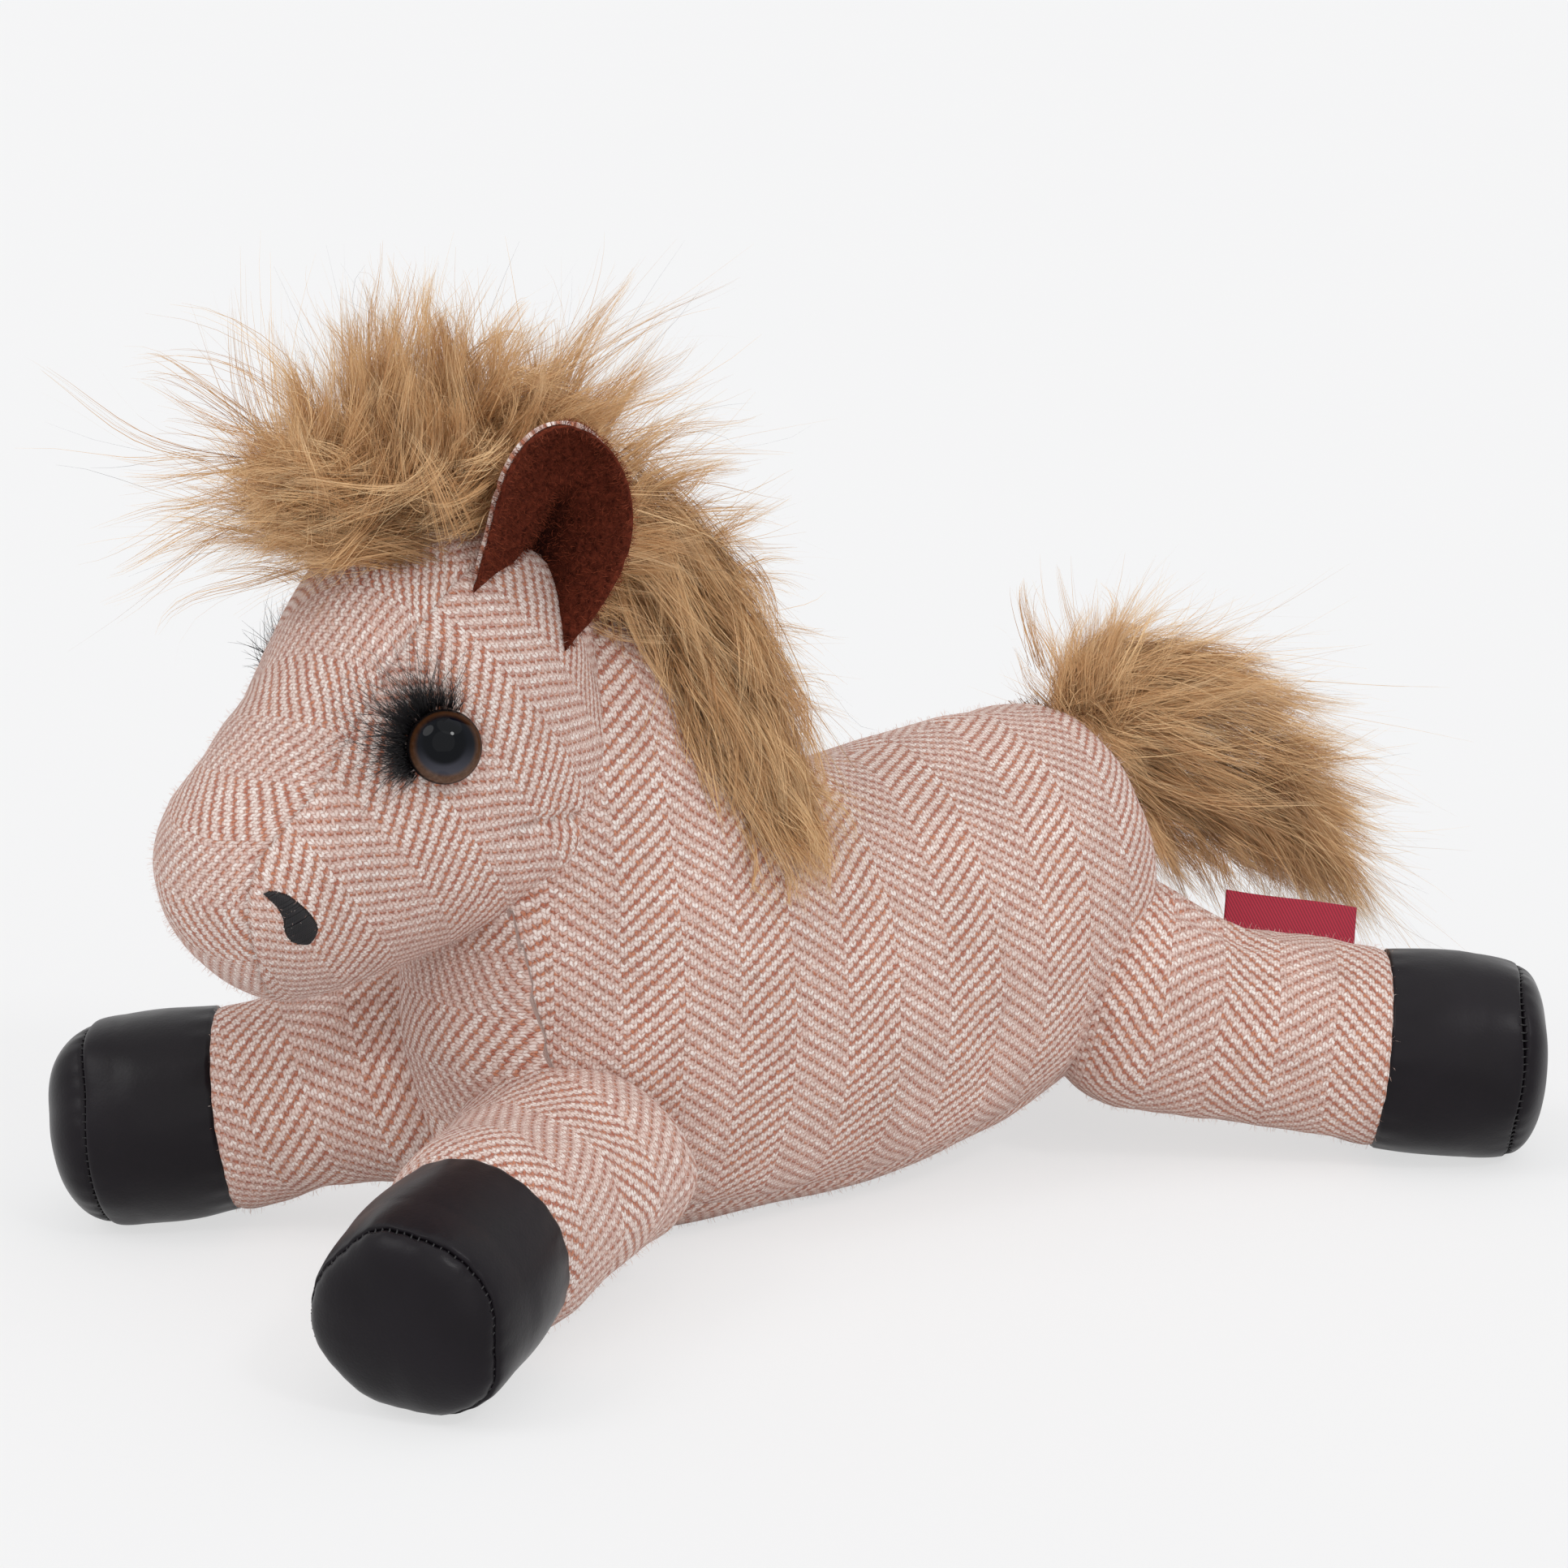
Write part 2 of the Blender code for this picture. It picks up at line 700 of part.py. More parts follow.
def ear_panel_form(frame, low, high):
    """A cupped leaf between two depths of one cup."""
    layers = []
    for depth in (low, high):
        rows = []
        for height, width in EAR_LEAF_SHARES:
            row = []
            for k in range(EAR_COLUMNS):
                across = 2 * k / (EAR_COLUMNS - 1) - 1
                cup = EAR_CUP * (1 - across * across) * width
                lean = EAR_LEAN * height * height
                sweep = EAR_SWEEP * height ** EAR_SWEEP_POWER
                row.append(frame @ Vector((
                    across * width * (EAR_WIDTH / 2 - depth / 2) - sweep,
                    height * EAR_HEIGHT - (OVERRUN if height == 0 else 0),
                    depth - cup - lean,
                )))
            rows.append(row)
        rows.append([frame @ Vector((-EAR_SWEEP, EAR_HEIGHT, depth - EAR_LEAN))])
        layers.append(rows)
    points = []
    index = []
    for rows in layers:
        layer_index = []
        for row in rows:
            layer_index.append(list(range(len(points), len(points) + len(row))))
            points += row
        index.append(layer_index)
    faces = []
    for side, layer in enumerate(index):
        for a, b in zip(layer[:-2], layer[1:-1]):
            for k in range(EAR_COLUMNS - 1):
                quad = (a[k], a[k + 1], b[k + 1], b[k])
                faces.append(quad if side else tuple(reversed(quad)))
        tip = layer[-1][0]
        for k in range(EAR_COLUMNS - 1):
            fan = (layer[-2][k], layer[-2][k + 1], tip)
            faces.append(fan if side else tuple(reversed(fan)))

    def rim(layer):
        rows = layer[:-1]
        left = [row[0] for row in rows]
        right = [row[-1] for row in rows]
        return rows[0] + right[1:] + layer[-1] + left[::-1][:-1]

    low_rim, high_rim = rim(index[0]), rim(index[1])
    for k in range(len(low_rim)):
        after = (k + 1) % len(low_rim)
        faces.append((low_rim[k], low_rim[after], high_rim[after], high_rim[k]))
    return points, faces


def forelock_form():
    root = head_point(*FORELOCK_PLACE_SHARES)

    def at(x, z):
        return root + Vector((x * FORELOCK_LENGTH, 0, z * FORELOCK_HEIGHT))

    rings = [
        section_ring(at(tx, tz), at(bx, bz), w * FORELOCK_WIDTH / 2, FUR_SIDES)
        for tx, tz, bx, bz, w in FORELOCK_SECTION_SHARES
    ]
    return skin(rings, at(*FORELOCK_POLE_SHARES[0]), at(*FORELOCK_POLE_SHARES[1]))


def mane_form():
    middles = []
    for x, z, rise, width, lean in MANE_LINE_SHARES:
        middle = torso_point(x, z, rise)
        middle.y = -lean * MANE_RADIUS
        middles.append((middle, width * MANE_RADIUS))
    rings = []
    for k, (middle, radius) in enumerate(middles):
        before = middles[max(k - 1, 0)][0]
        after = middles[min(k + 1, len(middles) - 1)][0]
        rings.append(round_ring(middle, (after - before).normalized(), radius, FUR_SIDES))
    first = middles[0][0] + (middles[0][0] - middles[1][0]) / 2
    last = middles[-1][0] + (middles[-1][0] - middles[-2][0]) / 2
    return skin(rings, first, last)


def tail_joint():
    return torso_point(*TAIL_JOINT_SHARES)


def tail_form():
    root = tail_joint()

    def at(x, z):
        return root + Vector((x * TAIL_LENGTH, 0, z * TAIL_DEPTH))

    rings = [
        section_ring(at(tx, tz), at(bx, bz), w * TAIL_WIDTH / 2, FUR_SIDES)
        for tx, tz, bx, bz, w in TAIL_SECTION_SHARES
    ]
    return skin(rings, at(*TAIL_POLE_SHARES[0]), at(*TAIL_POLE_SHARES[1]))


def tab_frame():
    """On top of the left hind leg: X along the leg, Y up the tab, Z through it."""
    leg = LEGS["hind_leg"]
    root = leg_root(leg)
    edge = hoof_edge(leg)
    along = (edge - root).normalized()
    side = along.cross(Vector((0, 0, 1))).normalized()
    up = side.cross(along)
    up = (up * math.cos(TAB_LEAN) - side * math.sin(TAB_LEAN)).normalized()
    middle = root.lerp(edge, TAB_PLACE_SHARE)
    radius = LEG_RADIUS + (LEG_ROOT_RADIUS - LEG_RADIUS) * TAB_SWELL_SHARE
    seat = middle + up * radius
    return Matrix.Translation(seat) @ Matrix((along, up, along.cross(up))).transposed().to_4x4()


def tab_form(frame):
    rings = []
    for height in (-OVERRUN, TAB_HEIGHT):
        rings.append([
            frame @ Vector((x * TAB_LENGTH / 2, height, z * TAB_WALL / 2))
            for x, z in ((-1, -1), (1, -1), (1, 1), (-1, 1))
        ])
    return skin(rings)


def build():
    clear_scene()
    knit = make_material("herringbone_knit", (0.63, 0.42, 0.35), 0.95)
    leather = make_material("hoof_leather", (0.012, 0.011, 0.012), 0.38)
    felt = make_material("ear_felt", (0.21, 0.045, 0.02), 0.95)
    fur = make_material("mane_fur", (0.40, 0.24, 0.12), 0.85)
    eye = make_material("eye_acrylic", (0.05, 0.025, 0.015), 0.08)
    washer = make_material("washer_nylon", (0.85, 0.85, 0.82), 0.5)
    thread = make_material("black_thread", (0.012, 0.012, 0.013), 0.6)
    fringe = make_material("lash_fibre", (0.01, 0.01, 0.01), 0.6)
    twill = make_material("red_twill", (0.38, 0.02, 0.05), 0.75)

    torso = torso_form()
    head = head_form()
    neck = head_joint()
    side_axis = Vector((0, 1, 0))
    up_axis = Vector((0, 0, 1))
    nod = (neck, side_axis, HEAD_TURN)
    room = TORSO_LENGTH + FORELEG_REACH + HINDLEG_REACH
    floor_cutter = box("floor_cutter", Vector((-room, -room, -OVERRUN)), Vector((room, room, 0)))
    cut(place("torso", *torso, knit), floor_cutter)

    head_object = place("head", *head, knit, neck)
    cut(head_object, swollen(*torso, "neck_cutter", NECK_GAP, [nod], ROOT_STEPS))
    head_seat = swollen(*head, "head_seat_cutter", SEAT_GAP)

    left_eye_frame = eye_frame(head)
    nostril = nostril_prism(head)
    thread_outer = swollen(*head, "nostril_outer_cutter", SEAT_GAP + NOSTRIL_WALL)
    left_ear_frame = ear_frame(head)
    ear_joint = left_ear_frame.translation
    ear_axis = left_ear_frame.col[0].xyz

    ear_cutters = []
    for side in ("left", "right"):
        eye_body = for_side(turned(eye_profile(), left_eye_frame, EYE_SIDES), side)
        washer_body = for_side(
            turned(washer_profile(), left_eye_frame, EYE_SIDES, closed_loop=True), side
        )
        cavity = for_side(turned(eye_cavity_profile(), left_eye_frame, EYE_SIDES), side)
        seat = side_point(left_eye_frame.translation, side)
        place(f"{side}_eye", *eye_body, eye, seat)
        place(f"{side}_eye_washer", *washer_body, washer, seat)
        cut(head_object, hide_as_cutter(place(f"{side}_eye_cutter", *cavity, eye)))
        lashes = place(f"{side}_lashes", *for_side(lash_form(left_eye_frame), side), fringe, seat)
        cut(lashes, head_seat)
        stitches = place(f"{side}_nostril", *for_side(nostril, side), thread)
        cut(stitches, thread_outer, "INTERSECT")
        cut(stitches, head_seat)

        root = side_point(ear_joint, side)
        axis = side_point(ear_axis, side)
        fold = (root, axis, EAR_TURN)
        ear_seat = swollen(*head, f"{side}_ear_seat_cutter", SEAT_GAP, [fold], ROOT_STEPS)
        panels = {
            "ear_lining": (felt, 0.0, EAR_WALL),
            "ear_back": (knit, -EAR_WALL - SEAT_GAP, -SEAT_GAP),
        }
        for panel, (material, low, high) in panels.items():
            form = for_side(ear_panel_form(left_ear_frame, low, high), side)
            cut(place(f"{side}_{panel}", *form, material, root), ear_seat)
        whole = for_side(
            ear_panel_form(left_ear_frame, -EAR_WALL - SEAT_GAP, EAR_WALL), side
        )
        ear_cutters.append(swollen(*whole, f"{side}_ear_cutter", FUR_GAP, [fold]))

    forelock = forelock_form()
    forelock_object = place("forelock", *forelock, fur, neck)
    cut(forelock_object, head_seat)
    for cutter in ear_cutters:
        cut(forelock_object, cutter)

    mane_object = place("mane", *mane_form(), fur)
    cut(mane_object, swollen(*torso, "mane_seat_cutter", SEAT_GAP))
    cut(mane_object, swollen(*head, "mane_head_cutter", FUR_GAP, [nod]))
    cut(mane_object, swollen(*forelock, "mane_forelock_cutter", FUR_GAP, [nod], ROOT_STEPS))

    tail_root = tail_joint()
    tail_object = place("tail", *tail_form(), fur, tail_root)
    lift = (tail_root, side_axis, TAIL_TURN)
    cut(tail_object, swollen(*torso, "tail_seat_cutter", SEAT_GAP, [lift], ROOT_STEPS))

    for name, leg in LEGS.items():
        for side in ("left", "right"):
            root = side_point(leg_root(leg), side)
            swing = (root, up_axis, LEG_TURN)
            leg_object = place(f"{side}_{name}", *for_side(leg_form(leg), side), knit, root)
            cut(leg_object, swollen(*torso, f"{side}_{name}_cutter", CUT_GAP, [swing]))
            hoof = f"{side}_{HOOF_NAMES[name]}"
            cut(place(f"{hoof}_band", *for_side(hoof_band_form(leg), side), leather, root), floor_cutter)
            cut(place(f"{hoof}_sole", *for_side(sole_form(leg), side), leather, root), floor_cutter)

    thigh_room = Vector((room, THIGH_GAP_SHARE * LEG_ROOT_RADIUS / 2, room))
    thigh_cutter = box("thigh_cutter", -thigh_room, thigh_room)
    for side in ("left", "right"):
        cut(bpy.data.objects[f"{side}_hind_leg"], thigh_cutter)

    frame = tab_frame()
    tab_object = place("woven_tab", *tab_form(frame), twill, frame.translation)
    flap = (frame.translation, frame.col[0].xyz, TAB_TURN)
    thigh = leg_form(LEGS["hind_leg"])
    cut(tab_object, swollen(*thigh, "tab_seat_cutter", SEAT_GAP, [flap], ROOT_STEPS))


build()
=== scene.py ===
import functools
import math

import bpy
import numpy as np
from mathutils import Euler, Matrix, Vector, noise
from mathutils.bvhtree import BVHTree


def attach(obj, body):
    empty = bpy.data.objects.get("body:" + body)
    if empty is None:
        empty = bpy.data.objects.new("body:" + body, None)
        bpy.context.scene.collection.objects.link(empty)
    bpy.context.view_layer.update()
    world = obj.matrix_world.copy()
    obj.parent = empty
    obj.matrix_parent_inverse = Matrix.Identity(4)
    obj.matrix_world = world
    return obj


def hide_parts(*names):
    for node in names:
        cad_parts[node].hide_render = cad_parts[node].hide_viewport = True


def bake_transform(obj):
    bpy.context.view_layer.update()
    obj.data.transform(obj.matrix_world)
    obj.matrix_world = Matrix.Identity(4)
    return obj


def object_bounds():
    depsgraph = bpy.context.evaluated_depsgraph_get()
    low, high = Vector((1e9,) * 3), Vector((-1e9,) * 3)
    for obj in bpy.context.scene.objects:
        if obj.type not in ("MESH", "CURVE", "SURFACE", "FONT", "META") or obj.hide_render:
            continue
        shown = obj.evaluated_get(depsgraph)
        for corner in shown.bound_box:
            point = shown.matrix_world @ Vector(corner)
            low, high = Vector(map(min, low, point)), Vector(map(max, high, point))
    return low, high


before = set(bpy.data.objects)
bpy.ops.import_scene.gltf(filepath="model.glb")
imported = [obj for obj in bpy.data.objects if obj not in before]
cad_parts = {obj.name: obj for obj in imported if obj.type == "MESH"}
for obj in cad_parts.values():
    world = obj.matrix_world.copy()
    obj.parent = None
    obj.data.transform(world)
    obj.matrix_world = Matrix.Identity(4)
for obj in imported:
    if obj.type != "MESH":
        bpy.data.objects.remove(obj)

cad_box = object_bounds()
MM = 0.001
chance = np.random.default_rng(11)

# Camera at the photograph's angle, in metres
CAMERA_PLACE = (-0.4679, -0.6859, 0.2995)
CAMERA_TURN = (math.radians(76), 0, math.radians(-34.8))
CAMERA_LENS = 91.9

# How much of the floor's own white the camera sees in place of its shaded colour
FLOOR_GLOW_SHARE = 0.70
FLOOR_REACH = 60

# The stuffed torso and neck: the same sections as the CAD solid, drawn through smoothly
TORSO_LENGTH, TORSO_HEIGHT, TORSO_WIDTH, NECK_RISE = 0.180, 0.098, 0.080, 0.044
REST_FLAT = 0.0005
TORSO_SECTIONS = (
    (0.537, 0.78, 0.537, 0.50, 0.36, 0, 0),
    (0.508, 0.92, 0.505, 0.33, 0.66, 0, 0),
    (0.450, 1.005, 0.450, 0.19, 0.86, 0, 0),
    (0.350, 1.015, 0.355, 0.09, 0.96, 0, 0),
    (0.235, 0.995, 0.235, 0.03, 1.00, 0, 0),
    (0.125, 0.975, 0.115, 0, 1.00, 0, 0),
    (0.035, 0.985, -0.030, 0, 0.99, 0.05, 0),
    (-0.045, 1.00, -0.175, 0, 0.96, 0.27, 0),
    (-0.110, 1.00, -0.315, 0.045, 0.92, 0.54, 0),
    (-0.165, 1.00, -0.415, 0.21, 0.84, 0.76, 0),
    (-0.215, 1.00, -0.450, 0.42, 0.75, 0.88, 0),
    (-0.265, 1.00, -0.445, 0.62, 0.65, 0.86, 0),
    (-0.315, 1.00, -0.430, 0.77, 0.52, 0.74, 0),
    (-0.350, 1.00, -0.415, 0.92, 0.32, 0.56, 0),
)
TORSO_POLES = ((0.548, 0.64, 0.0), (-0.385, 1.00, 0.30))

# The stuffed head, from the point that it nods about
HEAD_LENGTH, HEAD_DEPTH, HEAD_WIDTH = 0.100, 0.084, 0.066
NOD = np.array((-0.063, 0, 0.1068))
HEAD_SECTIONS = (
    (0.215, 0.29, 0.215, -0.10, 0.42),
    (0.130, 0.49, 0.170, -0.22, 0.72),
    (0.010, 0.62, 0.085, -0.31, 0.91),
    (-0.150, 0.655, -0.030, -0.38, 1.00),
    (-0.305, 0.585, -0.165, -0.43, 0.98),
    (-0.430, 0.445, -0.300, -0.465, 0.91),
    (-0.530, 0.285, -0.410, -0.50, 0.83),
    (-0.615, 0.145, -0.515, -0.515, 0.78),
    (-0.685, 0.025, -0.605, -0.485, 0.69),
    (-0.732, -0.085, -0.675, -0.41, 0.48),
)
HEAD_POLES = ((0.250, 0.09), (-0.752, -0.250))

# The seam between the head's side and its centre gusset: x, z and distance from the middle, in mm
GUSSET_SEAM = (
    (-70, 157, 18), (-80.4, 150.0, 21.0), (-84.2, 147.6, 21.6), (-91.1, 142.0, 23.0), (-96.3, 137.8, 23.2),
    (-102.1, 130.6, 23.5), (-108.1, 123.2, 23.0), (-114.4, 115.0, 22.6), (-118.9, 109.5, 22.2),
    (-123.0, 105.2, 21.4), (-126.9, 100.9, 20.5), (-129.4, 97.2, 20.2), (-130.1, 90.7, 20.0),
    (-129.5, 84.3, 19.5), (-127.7, 78.3, 18.0), (-124.8, 71.4, 14.0), (-116, 68, 7), (-108, 67, 0),
)
HEAD_HUB = (-98.0, 108.0)
CHEEK_ROLL, CREST_ROLL = 0.75, 1.3
# How much the gusset is pulled in, in mm, by the angle round the hub in degrees
PROFILE_TRIM = (
    (85, 0), (100, 2.2), (112, 3.3), (122, 3.8), (133, 3.8), (141, 3.4), (150, 2.8), (160, 2.5),
    (168, 2.6), (176, 1.9), (186, 1.0),
    (198, 1.0), (212, 1.5), (225, 1.8), (238, 2.0), (258, 1.2), (280, 0),
)
# The full jowl and the hollow nape, in mm: x and height of the middle, reach along both, and how far it stands out
HEAD_SWELLS = ((-63, 92, 10, 8, 3.2), (-50, 127, 13, 16, -3.6))
# Where each panel's columns start, in mm, and how far the head's lean
TORSO_CLOTH_SHIFT, CHEST_CLOTH_SHIFT, HEAD_CLOTH_SHIFT = 54, 5, 8.0
HEAD_CLOTH_LEAN = 36
# Where the forehead's cloth starts, and how its skew changes with the run from there
GUSSET_START = (-98.2, 146.1)
GUSSET_SKEW_RUN, GUSSET_SKEW = (0, 22, 48, 80), (32, 18, 3, -12)
CHEEK_DART = ((-77.0, -30.3, 100.2), (-71.8, -30.1, 101.0), (-66.0, -29.0, 100.7), (-61.0, -27.0, 100.2))

# The torso's panel seams, in mm: the chest panel's edge as x at a height, and the belly panel's edge as height at x
CHEST_SEAM = (
    (-90, 105), (-74, 90), (-72.1, 77.2), (-71.0, 68.4),
    (-69.6, 60.0), (-68.0, 52.9), (-66.7, 47.6), (-60, 20), (-56, 0)
)
BELLY_SEAM = (
    (-60, 13), (-20, 9), (0.5, 8.4), (16.6, 9.3), (29.9, 11.0), (41.6, 14.1), (60, 19.5), (80, 30), (100, 48)
)

# Herringbone cloth: a column is nine wales wide, and a stripe is three courses high
WALE_WIDTH = 1.45 * MM
COLUMN_WIDTH = 9 * WALE_WIDTH
COURSE_HEIGHT = 1.07 * MM
RUST_MIDDLE = 0.167
# The gap colours are painted shade: darker copies of cream and rust for the gaps between the stitches
CREAM_BRIGHT, CREAM_DULL, CREAM_GAP_SHADE = "#faf0ea", "#e3ccc2", "#bd9280"
RUST_LIGHT, RUST_DEEP, RUST_GAP_SHADE = "#c97c52", "#ab5432", "#84412b"

# Loose fibres that stand up from the knit and from the ears' felt
FUZZ_LENGTH, FUZZ_WIDTH, NAP_WIDTH = 1.8 * MM, 0.065 * MM, 0.11 * MM

# Legs: root on the torso, reach to the hoof's seam, spread, slope and radii
LEG_ROOT_RADIUS, LEG_RADIUS, LEG_SINK = 0.0255, 0.0215, 0.012
HOOF_LENGTH, HOOF_SWELL, SOLE_DOME, SEAT_GAP = 0.031, 0.0008, 0.0048, 0.0003
LEGS = {
    "foreleg": dict(root=(-0.0621, 0.0248, 0.02695), reach=0.047, spread=35, slope=7, heading=-1, radius=0.0222),
    "hind_leg": dict(root=(0.0846, 0.0208, 0.03773), reach=0.060, spread=37, slope=4, heading=1, radius=0.0230),
}
HOOFS = {"foreleg": "fore_hoof", "hind_leg": "hind_hoof"}
# How the photographed stuffing differs from leg to leg, in mm: added to the hoof's radius, to the root's top and
# to its back, taken off the root's underside, and how far the sole's seam sits back
STUFFING = {
    ("left", "foreleg"): (-1.3, -4.5, 2.0, 8.5, 0.5), ("right", "foreleg"): (0.5, 4.0, 0.0, 9.5, 4.0),
    ("left", "hind_leg"): (0.0, 0.0, 0.0, 0.0, 1.5), ("right", "hind_leg"): (-2.2, 0.0, 0.0, 0.0, 1.5),
}
FORELEG_CLOTH_TURN = 15
SHOULDER_DROP = 0.0014
# The sole's seam: where along the hoof it lies in mm, its stitches, and the puckers between them
SOLE_SEAM_AT, SHOULDER_FROM, SOLE_STITCHES, SOLE_PUCKERS = 30.4, 20.0, 78, 29
# How much of a thinner hoof's trim its middle follows, and how far cloth and leather stay above the floor
TRIM_LIFT, CLOTH_CLEARANCE, LEATHER_CLEARANCE = 0.6, 0.0001, 0.00005

# The left eye's seat and outward direction
EYE_SEAT = np.array((-0.0926, -0.0307, 0.1194))
EYE_OUT = np.array((-0.375, -0.913, 0.174))
EYE_RADIUS, EYE_HEIGHT, EYE_FLANGE = 0.0073, 0.0062, 0.0010
# First and last angle round the eye in degrees, and how long the fibres are
LASH_SPAN = {"left": (58, 226, 1.0), "right": (45, 160, 0.62)}
# The lashes' under layer, middle layer and single long fibres: count, shortest and longest in mm, and waver
LASH_LAYERS = ((430, 2.0, 6.5, 0.30), (190, 5.0, 11.0, 0.40), (170, 8.0, 19.0, 0.45))
LASH_RADIUS = 0.085 * MM

# The nostril's comma on the left of the head: x and z, in mm
NOSTRIL_OUTLINE = (
    (-127.6, 93.6), (-124.6, 93.3), (-121.6, 90.9), (-118.8, 87.3), (-118.0, 84.6),
    (-119.8, 82.6), (-122.7, 83.6), (-124.0, 85.9), (-124.4, 88.4), (-125.6, 91.0),
)

# Its satin stitches: slope, spacing, rise over the padding, and the thread's radius
SATIN_SLANT, SATIN_PITCH, SATIN_RISE, SATIN_THREAD_RADIUS = -0.55, 0.28 * MM, 0.70 * MM, 0.19 * MM

# The left ear's frame and its leaf: height share, half width share
EAR_ORIGIN = np.array((-0.0730, -0.02574, 0.1442))
EAR_BACKWARD = np.array((0.8316, -0.2425, -0.4997))
EAR_UPWARD = np.array((0.3576, -0.4546, 0.8158))
EAR_OUTWARD = np.array((-0.425, -0.8571, -0.2913))
EAR_HEIGHT, EAR_WIDTH, EAR_CUP, EAR_LEAN, EAR_SWEEP, EAR_WALL = 0.0372, 0.029, 0.010, 0.004, 0.0088, 0.0012
EAR_SET_BACK = 0.0024
# How deep the panel's fold sinks as it is folded into a cup
EAR_FOLD = 0.0060
EAR_LEAF = ((0, 0.80), (0.12, 0.88), (0.28, 0.94), (0.46, 1.0), (0.64, 0.94), (0.80, 0.78), (0.93, 0.48), (1.0, 0.0))

# How far loose hair may pass the CAD box, and how far it stays above the floor
HAIR_ROOM, HAIR_CLEARANCE = np.array((0.016, 0.012, 0.0135)), 0.0005

# Fur: the forelock, the mane along the neck and the tail
FORELOCK_LENGTH, FORELOCK_HEIGHT, FORELOCK_WIDTH = 0.084, 0.044, 0.054
FORELOCK_ROOT = NOD + np.array((-0.0125, 0, 0.0504))
FORELOCK_SECTIONS = (
    (-0.46, 0.38, -0.44, 0.02, 0.40), (-0.40, 0.62, -0.38, -0.12, 0.66), (-0.28, 0.84, -0.28, -0.18, 0.88),
    (-0.12, 0.98, -0.14, -0.10, 1.00), (0.06, 0.98, 0.02, -0.05, 0.96), (0.22, 0.84, 0.18, -0.10, 0.82),
    (0.36, 0.60, 0.32, -0.16, 0.62), (0.45, 0.34, 0.42, -0.10, 0.36),
)
FORELOCK_POLES = ((-0.50, 0.18), (0.48, 0.10))
# The mane's middle line: x, y, z and radius, in mm
MANE_LINE = (
    (-43, 2, 163, 14), (-33.0, 0, 148, 18), (-23.5, -4, 132.0, 19), (-20.0, -9, 118.5, 18),
    (-18.0, -15, 105.5, 16), (-16.0, -20, 93.0, 13.5), (-13.0, -25, 83.0, 9.5), (-8.5, -30, 74.0, 4.5),
)
TAIL_LENGTH, TAIL_DEPTH, TAIL_WIDTH = 0.100, 0.062, 0.034
TAIL_ROOT = np.array((0.08856, 0, 0.09114))
TAIL_SECTIONS = (
    (0.00, 0.27, 0.02, -0.14, 0.36), (0.09, 0.42, 0.09, -0.32, 0.66), (0.22, 0.44, 0.22, -0.36, 0.90),
    (0.38, 0.34, 0.36, -0.51, 1.00), (0.56, 0.19, 0.52, -0.65, 1.00), (0.74, 0.00, 0.69, -0.76, 0.86),
    (0.88, -0.20, 0.83, -0.85, 0.62), (0.95, -0.44, 0.91, -0.86, 0.34),
)
TAIL_POLES = ((-0.01, 0.06), (0.97, -0.70))
# The lock that droops behind the tab: its root and the two ends of its row of tips, in mm
TAIL_DROOP = ((122, -5, 79), (147, -6, 46), (178, -8, 33))

# The woven tab on the left hind leg
TAB_ORIGIN = np.array((0.12626, -0.03228, 0.04545))
TAB_ALONG = np.array((0.7786, -0.5867, -0.1400))
TAB_LENGTH, TAB_HEIGHT, TAB_SUNK, TAB_FOLD_RADIUS, TAB_WALL = 0.030, 0.0095, 0.0040, 0.00030, 0.00028
TAB_LEAN = 44


def linear(code):
    """An sRGB hex colour as linear RGBA."""
    parts = [int(code[k:k + 2], 16) / 255 for k in (1, 3, 5)]
    return (*(c / 12.92 if c <= 0.04045 else ((c + 0.055) / 1.055) ** 2.4 for c in parts), 1)


def add(tree, kind, sockets=None, out=0, **settings):
    """Adds a node; each socket takes a value or another node's output. Returns the output asked for, or the node."""
    node = tree.nodes.new("ShaderNode" + kind)
    for name, value in settings.items():
        setattr(node, name, value)
    for key, value in (sockets or {}).items():
        if isinstance(value, bpy.types.NodeSocket):
            tree.links.new(value, node.inputs[key])
        else:
            node.inputs[key].default_value = value
    return node if out is None else node.outputs[out]


def new_material(name):
    """An empty material, and the function that adds nodes to it."""
    material = bpy.data.materials.new(name)
    material.use_nodes = True
    material.node_tree.nodes.clear()
    return material, functools.partial(add, material.node_tree)


